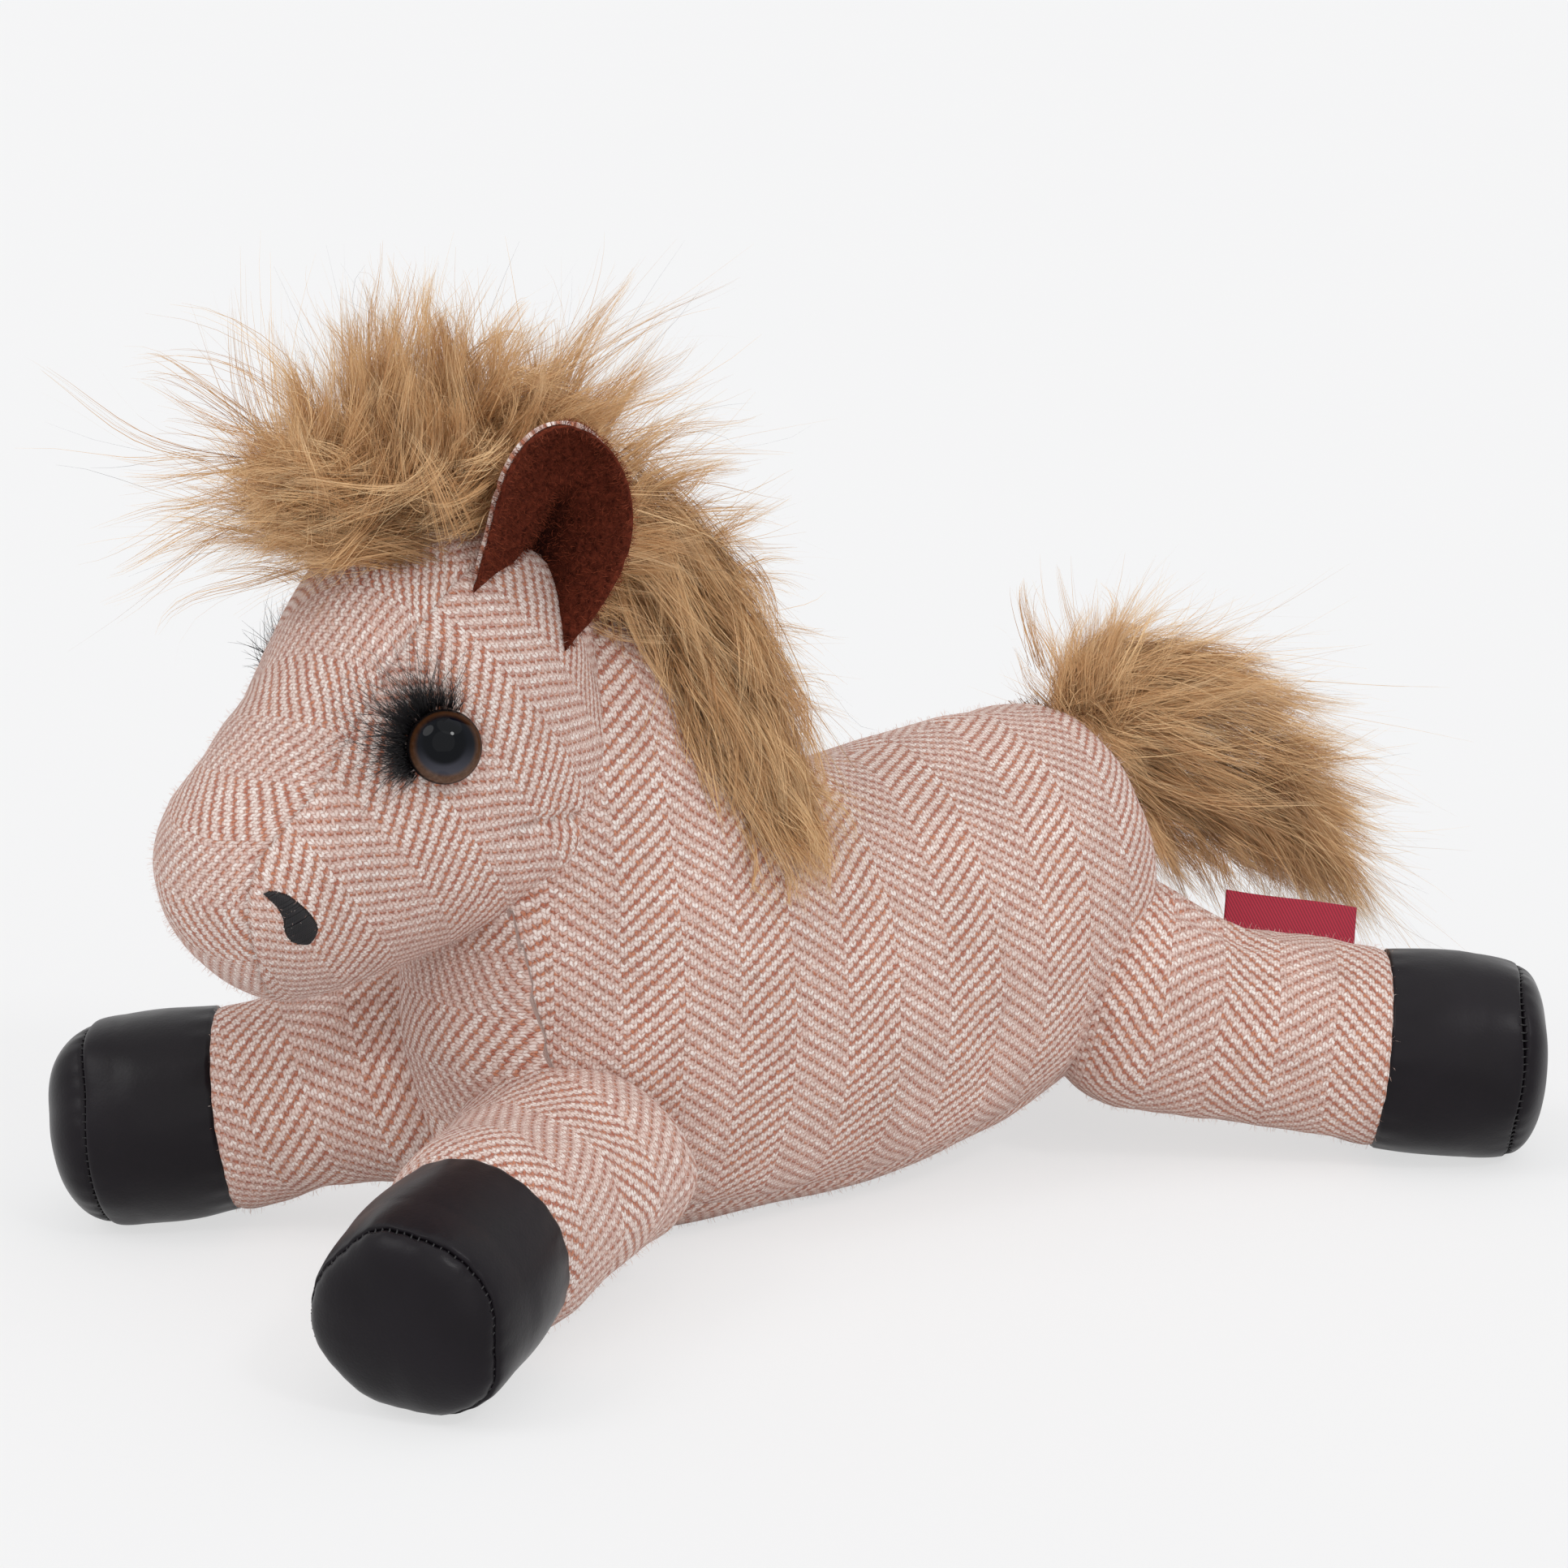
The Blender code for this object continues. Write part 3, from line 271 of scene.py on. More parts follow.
def herringbone_knit():
    """Brushed wool-blend jacquard knit: cream V stitches, every third one rust, stepping up and down in columns."""
    material, put = new_material("herringbone_knit")
    side = put("UVMap", uv_map="knit")
    gusset = put("UVMap", uv_map="knit_gusset")
    seam = put("Attribute", out="Fac", attribute_name="seam")
    on_side = put("Math", {0: seam, 1: 0.0}, operation="GREATER_THAN")
    flat_place = put("Mix", {0: on_side, 4: gusset, 5: side}, out=1, data_type="VECTOR")
    drift = put("TexNoise", {"Vector": flat_place, "Scale": 110, "Detail": 1}, out="Color")
    drift = put("VectorMath", {0: drift, 1: (0.5, 0.5, 0.5)}, operation="SUBTRACT")
    drift = put("VectorMath", {0: drift, "Scale": 1.3 * MM}, operation="SCALE")
    place = put("VectorMath", {0: flat_place, 1: drift}, operation="ADD")
    jitter = put("TexNoise", {"Vector": flat_place, "Scale": 1100, "Detail": 2, "Roughness": 0.6}, out="Color")
    jitter = put("VectorMath", {0: jitter, 1: (0.5, 0.5, 0.5)}, operation="SUBTRACT")
    jitter = put("VectorMath", {0: jitter, "Scale": 1.0 * MM}, operation="SCALE")
    place = put("VectorMath", {0: place, 1: jitter}, operation="ADD")
    parts = put("SeparateXYZ", {0: place}, out=None)
    across, along = parts.outputs[0], parts.outputs[1]
    # Columns of wales; each second column steps the other way
    column = put("Math", {0: across, 1: COLUMN_WIDTH}, operation="DIVIDE")
    number = put("Math", {0: column}, operation="FLOOR")
    odd = put("Math", {0: number, 1: 2.0}, operation="FLOORED_MODULO")
    turn = put("Math", {0: odd, 1: -2.0, 2: 1.0}, operation="MULTIPLY_ADD")
    wale = put("Math", {0: across, 1: WALE_WIDTH}, operation="DIVIDE")
    wale_number = put("Math", {0: wale}, operation="FLOOR")
    wale_share = put("Math", {0: wale, 1: wale_number}, operation="SUBTRACT")
    leg_share = put("Math", {0: wale_share, 1: 2.0, 2: -1.0}, operation="MULTIPLY_ADD")
    leg_share = put("Math", {0: leg_share}, operation="ABSOLUTE")
    course = put("Math", {0: along, 1: COURSE_HEIGHT}, operation="DIVIDE")
    course = put("Math", {0: leg_share, 1: 0.55, 2: course}, operation="MULTIPLY_ADD")
    course_number = put("Math", {0: course}, operation="FLOOR")
    course_share = put("Math", {0: course, 1: course_number}, operation="SUBTRACT")
    # The colour steps one course per wale, so the stripes climb; a slanted share smooths the steps as brushing does
    stepped = put("Math", {0: wale_number, 1: turn, 2: course_number}, operation="MULTIPLY_ADD")
    stepped = put("Math", {0: odd, 1: 1.0, 2: stepped}, operation="MULTIPLY_ADD")
    stepped = put("Math", {0: stepped, 1: 3.0}, operation="FLOORED_MODULO")
    smooth_line = put("Math", {0: along, 1: COURSE_HEIGHT}, operation="DIVIDE")
    smooth_line = put("Math", {0: wale, 1: turn, 2: smooth_line}, operation="MULTIPLY_ADD")
    smooth_line = put("Math", {0: odd, 1: 1.0, 2: smooth_line}, operation="MULTIPLY_ADD")
    smooth_line = put("Math", {0: smooth_line, 1: 1 / 3}, operation="MULTIPLY")
    smooth_line = put("Math", {0: smooth_line}, operation="FRACT")
    smooth_line = put("Math", {0: smooth_line, 1: RUST_MIDDLE}, operation="SUBTRACT")
    smooth_line = put("Math", {0: smooth_line, 1: 0.5, 2: -0.5}, operation="WRAP")
    smooth_line = put("Math", {0: smooth_line}, operation="ABSOLUTE")
    band = put("MapRange", {0: smooth_line, 1: 0.12, 2: 0.28, 3: 1.0, 4: 0.0}, interpolation_type="SMOOTHSTEP")
    cell_rust = put("Math", {0: stepped, 1: 0.5}, operation="LESS_THAN")
    rust_share = put("Mix", {0: 0.45, 2: cell_rust, 3: band}, out=0, data_type="FLOAT")
    # Each stitch is a pair of round yarn legs, with painted shade darkening the gap round it
    yarn_round = put("Math", {0: course_share, 1: math.pi}, operation="MULTIPLY")
    yarn_round = put("Math", {0: yarn_round}, operation="SINE")
    leg_round = put("Math", {0: leg_share, 1: math.pi}, operation="MULTIPLY")
    leg_round = put("Math", {0: leg_round}, operation="SINE")
    stitch = put("Math", {0: yarn_round, 1: 0.5}, operation="POWER")
    leg_round = put("Math", {0: leg_round, 1: 0.45}, operation="POWER")
    stitch = put("Math", {0: stitch, 1: leg_round}, operation="MULTIPLY")
    spot = put("CombineXYZ", {0: wale_number, 1: course_number, 2: number})
    luck = put("TexWhiteNoise", {0: spot}, noise_dimensions="3D")
    fuzz = put("TexNoise", {"Vector": flat_place, "Scale": 2600, "Detail": 3, "Roughness": 0.75})
    cream = put("Mix", {0: luck, 6: linear(CREAM_DULL), 7: linear(CREAM_BRIGHT)}, out=2, data_type="RGBA")
    # Painted shade: where the stitch's height falls off, the yarn takes its darker gap colour
    gap_shade_mask = put("MapRange", {0: stitch, 1: 0.15, 2: 0.75, 3: 0.0, 4: 1.0})
    cream = put("Mix", {0: gap_shade_mask, 6: linear(CREAM_GAP_SHADE), 7: cream}, out=2, data_type="RGBA")
    rust = put("Mix", {0: luck, 6: linear(RUST_DEEP), 7: linear(RUST_LIGHT)}, out=2, data_type="RGBA")
    rust = put("Mix", {0: gap_shade_mask, 6: linear(RUST_GAP_SHADE), 7: rust}, out=2, data_type="RGBA")
    cloth = put("Mix", {0: rust_share, 6: cream, 7: rust}, out=2, data_type="RGBA")
    speck = put("MapRange", {0: luck, 1: 0.88, 2: 0.96, 3: 0.0, 4: 0.35})
    speck = put("Math", {0: speck, 1: rust_share}, operation="MULTIPLY")
    cloth = put("Mix", {0: speck, 6: cloth, 7: linear("#5f3a38")}, out=2, data_type="RGBA")
    haze = put("MapRange", {0: fuzz, 1: 0.35, 2: 0.75, 3: 0.0, 4: 0.36})
    cloth = put("Mix", {0: haze, 6: cloth, 7: linear("#e6d3cb")}, out=2, data_type="RGBA")
    cloud = put("TexNoise", {"Vector": flat_place, "Scale": 45, "Detail": 2})
    cloud = put("MapRange", {0: cloud, 1: 0.3, 2: 0.7, 3: 0.94, 4: 1.05})
    off_seam = put("Math", {0: seam}, operation="ABSOLUTE")
    seam_shade = put("MapRange", {0: off_seam, 1: 0.0, 2: 0.0012, 3: 0.84, 4: 1.0}, interpolation_type="SMOOTHSTEP")
    shade = put("Math", {0: cloud, 1: seam_shade}, operation="MULTIPLY")
    cloth = put("VectorMath", {0: cloth, "Scale": shade}, operation="SCALE")
    lift = put("Math", {0: rust_share, 1: -0.18}, operation="MULTIPLY")
    lift = put("Math", {0: stitch, 1: 0.55, 2: lift}, operation="MULTIPLY_ADD")
    lift = put("Math", {0: fuzz, 1: 0.35, 2: lift}, operation="MULTIPLY_ADD")
    bump = put("Bump", {"Strength": 0.75, "Distance": 0.40 * MM, "Height": lift})
    shader = put("BsdfPrincipled", {
        "Base Color": cloth, "Roughness": 0.95, "Normal": bump, "Specular IOR Level": 0.2,
        "Sheen Weight": 0.30, "Sheen Roughness": 0.45, "Sheen Tint": linear("#f3e3dc"),
    })
    put("OutputMaterial", {0: shader}, out=None)
    return material


def satin_leather():
    """Black satin polyurethane leather, calendered: dark, with soft wide highlights and a barely visible grain."""
    material, put = new_material("black_satin_leather")
    where = put("TexCoord", out="Object")
    grain = put("TexVoronoi", {"Vector": where, "Scale": 1 / (0.55 * MM)}, feature="SMOOTH_F1")
    cloud = put("TexNoise", {"Vector": where, "Scale": 70, "Detail": 3})
    tone = put("Mix", {0: cloud, 6: linear("#0c080c"), 7: linear("#19141a")}, out=2, data_type="RGBA")
    gloss = put("MapRange", {0: cloud, 1: 0.3, 2: 0.7, 3: 0.30, 4: 0.42})
    soft = put("TexNoise", {"Vector": where, "Scale": 160, "Detail": 2})
    height = put("Math", {0: soft, 1: 6.0, 2: grain}, operation="MULTIPLY_ADD")
    bump = put("Bump", {"Strength": 0.25, "Distance": 0.08 * MM, "Height": height})
    shader = put("BsdfPrincipled", {
        "Base Color": tone, "Roughness": gloss, "Normal": bump, "Specular IOR Level": 0.17,
        "Sheen Weight": 0.02, "Sheen Roughness": 0.5,
    })
    put("OutputMaterial", {0: shader}, out=None)
    return material


def brushed_felt():
    """Rust brushed polyester felt: matt, mottled by its nap, and darkened by painted shade in the ear's fold."""
    material, put = new_material("rust_brushed_felt")
    where = put("TexCoord", out="Object")
    fold = put("Attribute", out="Fac", attribute_name="fold")
    nap = put("TexNoise", {"Vector": where, "Scale": 1 / (1.3 * MM), "Detail": 4, "Roughness": 0.72})
    share = put("MapRange", {0: nap, 1: 0.32, 2: 0.68, 3: 0.0, 4: 1.0})
    tone = put("Mix", {0: share, 6: linear("#35110a"), 7: linear("#753524")}, out=2, data_type="RGBA")
    # Painted shade: the felt turns nearly black where the fold attribute marks the ear's hollow
    tone = put("Mix", {0: fold, 6: tone, 7: linear("#150604")}, out=2, data_type="RGBA")
    bump = put("Bump", {"Strength": 0.9, "Distance": 0.6 * MM, "Height": nap})
    shader = put("BsdfPrincipled", {
        "Base Color": tone, "Roughness": 0.95, "Normal": bump, "Specular IOR Level": 0.08,
        "Sheen Weight": 0.12, "Sheen Roughness": 0.5, "Sheen Tint": linear("#a85a3e"),
    })
    put("OutputMaterial", {0: shader}, out=None)
    return material


def long_pile_fur():
    """Modacrylic long pile: deep brown at the root as painted shade inside the pile, honey at the tip; a few guard
    hairs end dark.
    """
    material, put = new_material("long_pile_fur")
    parts = put("SeparateXYZ", {0: put("UVMap", uv_map="OFBake")}, out=None)
    tone, along = parts.outputs[0], parts.outputs[1]
    light = put("Mix", {0: tone, 6: linear("#b88350"), 7: linear("#f6d3a0")}, out=2, data_type="RGBA")
    # Painted shade: each strand darkens toward its root, where it lies deep in the pile
    root_shade_share = put("MapRange", {0: along, 1: 0.0, 2: 0.45, 3: 0.0, 4: 1.0}, interpolation_type="SMOOTHSTEP")
    hair = put("Mix", {0: root_shade_share, 6: linear("#835831"), 7: light}, out=2, data_type="RGBA")
    tip_share = put("MapRange", {0: along, 1: 0.70, 2: 1.0, 3: 0.0, 4: 0.5})
    hair = put("Mix", {0: tip_share, 6: hair, 7: linear("#f8e0b8")}, out=2, data_type="RGBA")
    guard = put("Math", {0: tone, 1: 0.97}, operation="GREATER_THAN")
    guard_tip = put("MapRange", {0: along, 1: 0.35, 2: 0.75, 3: 0.0, 4: 1.0})
    guard = put("Math", {0: guard, 1: guard_tip}, operation="MULTIPLY")
    hair = put("Mix", {0: guard, 6: hair, 7: linear("#3a3031")}, out=2, data_type="RGBA")
    shader = put("BsdfPrincipled", {
        "Base Color": hair, "Roughness": 0.48, "Specular IOR Level": 0.38,
        "Sheen Weight": 0.15, "Sheen Roughness": 0.4, "Sheen Tint": linear("#e8cda6"),
    })
    put("OutputMaterial", {0: shader}, out=None)
    return material


def lash_fibre():
    """Black polyester lash fibre: a fine soft gloss along each hair, greyer at its tip."""
    material, put = new_material("black_lash_fibre")
    parts = put("SeparateXYZ", {0: put("UVMap", uv_map="OFBake")}, out=None)
    tone = put("Mix", {0: parts.outputs[1], 6: linear("#0f0e10"), 7: linear("#2a2728")}, out=2, data_type="RGBA")
    shader = put("BsdfPrincipled", {"Base Color": tone, "Roughness": 0.45})
    put("OutputMaterial", {0: shader}, out=None)
    return material


def loose_fibre(name, dark, light):
    """Loose fibres brushed out of a cloth, a little paler than the cloth itself: they give it a soft, hazy edge."""
    material, put = new_material(name)
    parts = put("SeparateXYZ", {0: put("UVMap", uv_map="OFBake")}, out=None)
    tone = put("Mix", {0: parts.outputs[0], 6: linear(dark), 7: linear(light)}, out=2, data_type="RGBA")
    shader = put("BsdfPrincipled", {"Base Color": tone, "Roughness": 0.8, "Specular IOR Level": 0.2})
    put("OutputMaterial", {0: shader}, out=None)
    return material


def black_thread():
    """Black rayon embroidery thread: twisted plies with a low gloss."""
    material, put = new_material("black_rayon_thread")
    where = put("TexCoord", out="Object")
    ply = put("TexWave", {"Vector": where, "Scale": 1 / (1.2 * MM), "Distortion": 1.5, "Detail": 1})
    tone = put("Mix", {0: ply, 6: linear("#0c0b0d"), 7: linear("#242124")}, out=2, data_type="RGBA")
    bump = put("Bump", {"Strength": 0.4, "Distance": 0.05 * MM, "Height": ply})
    shader = put("BsdfPrincipled", {"Base Color": tone, "Roughness": 0.5, "Normal": bump, "Specular IOR Level": 0.4})
    put("OutputMaterial", {0: shader}, out=None)
    return material


def painted_acrylic():
    """A cast acrylic safety eye painted behind its dome: navy pupil, amber ring, dark rim, wet gloss; a painted
    reflection pales it below.
    """
    material, put = new_material("painted_acrylic_eye")
    parts = put("SeparateXYZ", {0: put("UVMap", uv_map="eye_disc")}, out=None)
    right, up = parts.outputs[0], parts.outputs[1]
    disc = put("CombineXYZ", {0: right, 1: up, 2: 0.0})
    out_share = put("VectorMath", {0: disc}, out="Value", operation="LENGTH")
    ring = put("VectorMath", {0: disc, 1: (-0.03, 0.07, 0)}, operation="SUBTRACT")
    ring_share = put("VectorMath", {0: ring}, out="Value", operation="LENGTH")
    inner = put("VectorMath", {0: disc, 1: (-0.09, 0.16, 0)}, operation="SUBTRACT")
    pupil_share = put("VectorMath", {0: inner}, out="Value", operation="LENGTH")
    fleck = put("TexNoise", {"Vector": disc, "Scale": 9, "Detail": 4, "Roughness": 0.7})
    # Painted reflection: below the middle the amber ring and the dark ring round the pupil turn paler and greyer, as
    # the pale floor reflected in the dome
    above = put("MapRange", {0: up, 1: -0.85, 2: 0.15, 3: 0.0, 4: 1.0}, interpolation_type="SMOOTHSTEP")
    amber = put("Mix", {0: above, 6: linear("#7a5f4e"), 7: linear("#50301a")}, out=2, data_type="RGBA")
    amber = put("Mix", {0: fleck, 6: amber, 7: linear("#2b190d")}, out=2, data_type="RGBA")
    iris = put("MapRange", {0: ring_share, 1: 0.72, 2: 0.86, 3: 0.0, 4: 1.0}, interpolation_type="SMOOTHSTEP")
    dark = put("Mix", {0: above, 6: linear("#45454d"), 7: linear("#080b13")}, out=2, data_type="RGBA")
    pupil = put("MapRange", {0: pupil_share, 1: 0.50, 2: 0.66, 3: 0.0, 4: 1.0}, interpolation_type="SMOOTHSTEP")
    core = put("Mix", {0: pupil, 6: linear("#010308"), 7: dark}, out=2, data_type="RGBA")
    tone = put("Mix", {0: iris, 6: core, 7: amber}, out=2, data_type="RGBA")
    rim = put("MapRange", {0: out_share, 1: 0.93, 2: 0.97, 3: 0.0, 4: 1.0})
    tone = put("Mix", {0: rim, 6: tone, 7: linear("#141112")}, out=2, data_type="RGBA")
    shader = put("BsdfPrincipled", {
        "Base Color": tone, "Roughness": 0.6, "Specular IOR Level": 0.0,
        "Coat Weight": 0.28, "Coat Roughness": 0.03, "Coat IOR": 1.50,
    })
    put("OutputMaterial", {0: shader}, out=None)
    return material


def washer_nylon():
    """Moulded natural nylon: milky white with a faint mottle."""
    material, put = new_material("moulded_nylon")
    where = put("TexCoord", out="Object")
    cloud = put("TexNoise", {"Vector": where, "Scale": 400, "Detail": 2})
    tone = put("Mix", {0: cloud, 6: linear("#dcdad2"), 7: linear("#efede6")}, out=2, data_type="RGBA")
    shader = put("BsdfPrincipled", {"Base Color": tone, "Roughness": 0.5})
    put("OutputMaterial", {0: shader}, out=None)
    return material


def crimson_twill():
    """Woven polyester ribbon in a twill: steep satin ridges 0.75 mm apart, with painted shade in the grooves between
    them.
    """
    material, put = new_material("crimson_woven_twill")
    parts = put("SeparateXYZ", {0: put("UVMap", uv_map="knit")}, out=None)
    slant = put("Math", {0: parts.outputs[1], 1: -0.55, 2: parts.outputs[0]}, operation="MULTIPLY_ADD")
    ridge = put("Math", {0: slant, 1: 2 * math.pi / (0.75 * MM)}, operation="MULTIPLY")
    ridge = put("Math", {0: ridge}, operation="SINE")
    # Painted shade: the crimson is darker in the grooves between the ridges
    share = put("MapRange", {0: ridge, 1: -1.0, 2: 0.4, 3: 0.0, 4: 1.0})
    tone = put("Mix", {0: share, 6: linear("#7c1228"), 7: linear("#b01c38")}, out=2, data_type="RGBA")
    weft = put("Math", {0: parts.outputs[1], 1: 2 * math.pi / (0.28 * MM)}, operation="MULTIPLY")
    weft = put("Math", {0: weft}, operation="SINE")
    height = put("Math", {0: weft, 1: 0.25, 2: ridge}, operation="MULTIPLY_ADD")
    bump = put("Bump", {"Strength": 0.5, "Distance": 0.12 * MM, "Height": height})
    shader = put("BsdfPrincipled", {
        "Base Color": tone, "Roughness": 0.55, "Normal": bump, "Specular IOR Level": 0.35,
        "Sheen Weight": 0.15, "Sheen Roughness": 0.4,
    })
    put("OutputMaterial", {0: shader}, out=None)
    return material


def smooth_through(rows, at):
    """Points at parameters `at` on a smooth curve through rows, which hold one spare row before and after."""
    rows = np.asarray(rows, float)
    knots = np.concatenate([[0], np.cumsum(np.sqrt(np.linalg.norm(np.diff(rows, axis=0), axis=1)) + 1e-9)])
    low, high = knots[1], knots[-2]
    spots = low + (high - low) * np.asarray(at, float)
    k = np.clip(np.searchsorted(knots, spots, side="right") - 1, 1, len(rows) - 3)
    step = np.diff(knots)
    slope = np.diff(rows, axis=0) / step[:, None]
    tangent = np.zeros_like(rows)
    tangent[1:-1] = (slope[1:] * step[:-1, None] + slope[:-1] * step[1:, None]) / (step[1:] + step[:-1])[:, None]
    h = step[k][:, None]
    t = ((spots - knots[k]) / step[k])[:, None]
    return (
        (2 * t ** 3 - 3 * t ** 2 + 1) * rows[k] + (t ** 3 - 2 * t ** 2 + t) * h * tangent[k]
        + (3 * t ** 2 - 2 * t ** 3) * rows[k + 1] + (t ** 3 - t ** 2) * h * tangent[k + 1]
    )


def round_the_ends(rows, poles):
    """Adds each end's pole and a mirrored row past it, so that the form closes in a round end."""
    rows = np.asarray(rows, float)
    first = np.array((*poles[0], *poles[0], 0))
    last = np.array((*poles[1], *poles[1], 0))
    mirror = [2, 3, 0, 1, 4]
    before, after = rows[0][mirror].copy(), rows[-1][mirror].copy()
    before[4] *= -1
    after[4] *= -1
    return np.vstack([before, first, rows, last, after])


def oval_grid(rows, poles, rings, sides):
    """A closed form as rings of ovals: rows hold top x, z, low x, z and half width in metres."""
    full = smooth_through(round_the_ends(rows, poles), np.linspace(0, 1, rings + 2))
    turn = 2 * np.pi * np.arange(sides) / sides
    middle = (full[:, 0:2] + full[:, 2:4]) / 2
    rise = (full[:, 0:2] - full[:, 2:4]) / 2
    grid = np.zeros((rings + 2, sides, 3))
    grid[:, :, 0] = middle[:, None, 0] + rise[:, None, 0] * np.sin(turn)
    grid[:, :, 2] = middle[:, None, 1] + rise[:, None, 1] * np.sin(turn)
    grid[:, :, 1] = -full[:, None, 4] * np.cos(turn)
    return grid


def placed(sections, poles, root, length, depth, width):
    """An oval form's rows and poles in metres, from shares of its length, depth and width about a root."""
    rows = [
        (root[0] + tx * length, root[2] + tz * depth, root[0] + lx * length, root[2] + lz * depth, w * width / 2)
        for tx, tz, lx, lz, w in sections
    ]
    return rows, [(root[0] + x * length, root[2] + z * depth) for x, z in poles]


def grid_normals(grid):
    """Outward unit normals of a ring grid whose rings wrap round."""
    round_way = np.roll(grid, -1, 1) - np.roll(grid, 1, 1)
    long_way = np.gradient(grid, axis=0)
    normals = np.cross(long_way, round_way)
    normals /= np.maximum(np.linalg.norm(normals, axis=2, keepdims=True), 1e-12)
    middle = grid.mean(axis=1, keepdims=True)
    if ((grid - middle) * normals).sum() < 0:
        normals = -normals
    return normals


def make_mesh(name, points, faces, maps=(), values=(), material=None):
    """One object from arrays; maps are UV layers given per face corner, values are numbers given per point."""
    mesh = bpy.data.meshes.new(name)
    listed = isinstance(faces, list)
    counts = np.array([len(f) for f in faces] if listed else [faces.shape[1]] * len(faces), np.int32)
    corners = np.concatenate([np.asarray(f) for f in faces]) if listed else faces.ravel()
    mesh.vertices.add(len(points))
    mesh.vertices.foreach_set("co", np.asarray(points, np.float32).ravel())
    mesh.loops.add(len(corners))
    mesh.loops.foreach_set("vertex_index", corners.astype(np.int32))
    mesh.polygons.add(len(counts))
    mesh.polygons.foreach_set("loop_start", np.concatenate([[0], np.cumsum(counts)[:-1]]).astype(np.int32))
    mesh.update(calc_edges=True)
    mesh.validate()
    for label, flat in maps:
        layer = mesh.uv_layers.new(name=label, do_init=False)
        layer.uv.foreach_set("vector", np.asarray(flat, np.float32).ravel())
    for label, numbers in values:
        mesh.attributes.new(label, "FLOAT", "POINT").data.foreach_set(
            "value", np.asarray(numbers, np.float32).ravel()
        )
    mesh.shade_smooth()
    piece = bpy.data.objects.new(name, mesh)
    bpy.context.scene.collection.objects.link(piece)
    if material:
        mesh.materials.append(material)
    return piece


def sheet_faces(rows, columns):
    """The faces of a sheet of rows × columns points, its rim's points in order and the point after each."""
    index = np.arange(rows * columns).reshape(rows, columns)
    quads = np.stack([index[:-1, :-1], index[:-1, 1:], index[1:, 1:], index[1:, :-1]], -1).reshape(-1, 4)
    rim = np.concatenate([index[0], index[1:, -1], index[-1, -2::-1], index[-2:0:-1, 0]])
    return quads, rim, np.roll(rim, -1)


def skin_grid(name, grid, material, maps=(), values=()):
    """A skin over a ring grid, closed with fans at both ends. maps hold (label, array of rings × (sides + 1) × 2)."""
    rings, sides = grid.shape[:2]
    points = np.vstack([grid.reshape(-1, 3), grid[0].mean(0), grid[-1].mean(0)])
    ring, side = np.meshgrid(np.arange(rings - 1), np.arange(sides), indexing="ij")
    after = (side + 1) % sides
    quads = np.stack(
        [ring * sides + side, ring * sides + after, (ring + 1) * sides + after, (ring + 1) * sides + side], -1
    )
    quads = quads.reshape(-1, 4)
    step = np.arange(sides)
    low_fan = np.stack([(step + 1) % sides, step, np.full(sides, rings * sides)], -1)
    high_start = (rings - 1) * sides
    high_fan = np.stack([high_start + step, high_start + (step + 1) % sides, np.full(sides, rings * sides + 1)], -1)
    faces = [*quads, *low_fan, *high_fan]
    corner_maps = []
    for label, flat in maps:
        a = flat[:-1, :-1].reshape(-1, 2)
        b = flat[:-1, 1:].reshape(-1, 2)
        c = flat[1:, 1:].reshape(-1, 2)
        d = flat[1:, :-1].reshape(-1, 2)
        quad_map = np.stack([a, b, c, d], 1).reshape(-1, 2)
        low_pole = (flat[0, 1:] + flat[0, :-1]) / 2
        low_map = np.stack([flat[0, 1:], flat[0, :-1], low_pole], 1).reshape(-1, 2)
        high_pole = (flat[-1, 1:] + flat[-1, :-1]) / 2
        high_map = np.stack([flat[-1, :-1], flat[-1, 1:], high_pole], 1).reshape(-1, 2)
        corner_maps.append((label, np.vstack([quad_map, low_map, high_map])))
    point_values = [(label, np.concatenate([v.ravel(), [v[0].mean(), v[-1].mean()]])) for label, v in values]
    piece = make_mesh(name, points, faces, corner_maps, point_values, material)
    face_outward(piece)
    return piece


def face_outward(piece):
    """Turns a closed mesh's faces outward."""
    mesh = piece.data
    points = np.array([v.co for v in mesh.vertices])
    mesh.calc_loop_triangles()
    triangles = np.zeros(len(mesh.loop_triangles) * 3, np.int32)
    mesh.loop_triangles.foreach_get("vertices", triangles)
    if np.linalg.det(points[triangles.reshape(-1, 3)] - points.mean(0)).sum() < 0:
        mesh.flip_normals()


def soft_noise(points, size, seed, octaves=2):
    """Smooth noise from about -1 to 1 at each point, with features of that size in metres."""
    flat = points.reshape(-1, 3) / size + seed * 17.3
    values = np.array([noise.fractal(Vector(p), 1.0, 2.0, octaves) for p in flat])
    return values.reshape(points.shape[:-1])


def groove(distance, width, depth, puff=0.0):
    """A seam's groove with a slight puff on both sides, as a move along the normal."""
    share = distance / width
    return -depth * np.exp(-share ** 2) + puff * np.exp(-((np.abs(share) - 2.2) / 1.2) ** 2)


def closed_columns(values):
    """Repeats the first column at the end, for maps that don't jump."""
    return np.concatenate([values, values[:, :1]], axis=1)


def distance_to_path(points, path):
    """Distance of each point from a line through path, all in metres."""
    best = np.full(points.shape[:-1], np.inf)
    for a, b in zip(path[:-1], path[1:]):
        run = b - a
        share = np.clip(((points - a) @ run) / (run @ run), 0, 1)
        best = np.minimum(best, np.linalg.norm(points - a - share[..., None] * run, axis=-1))
    return best


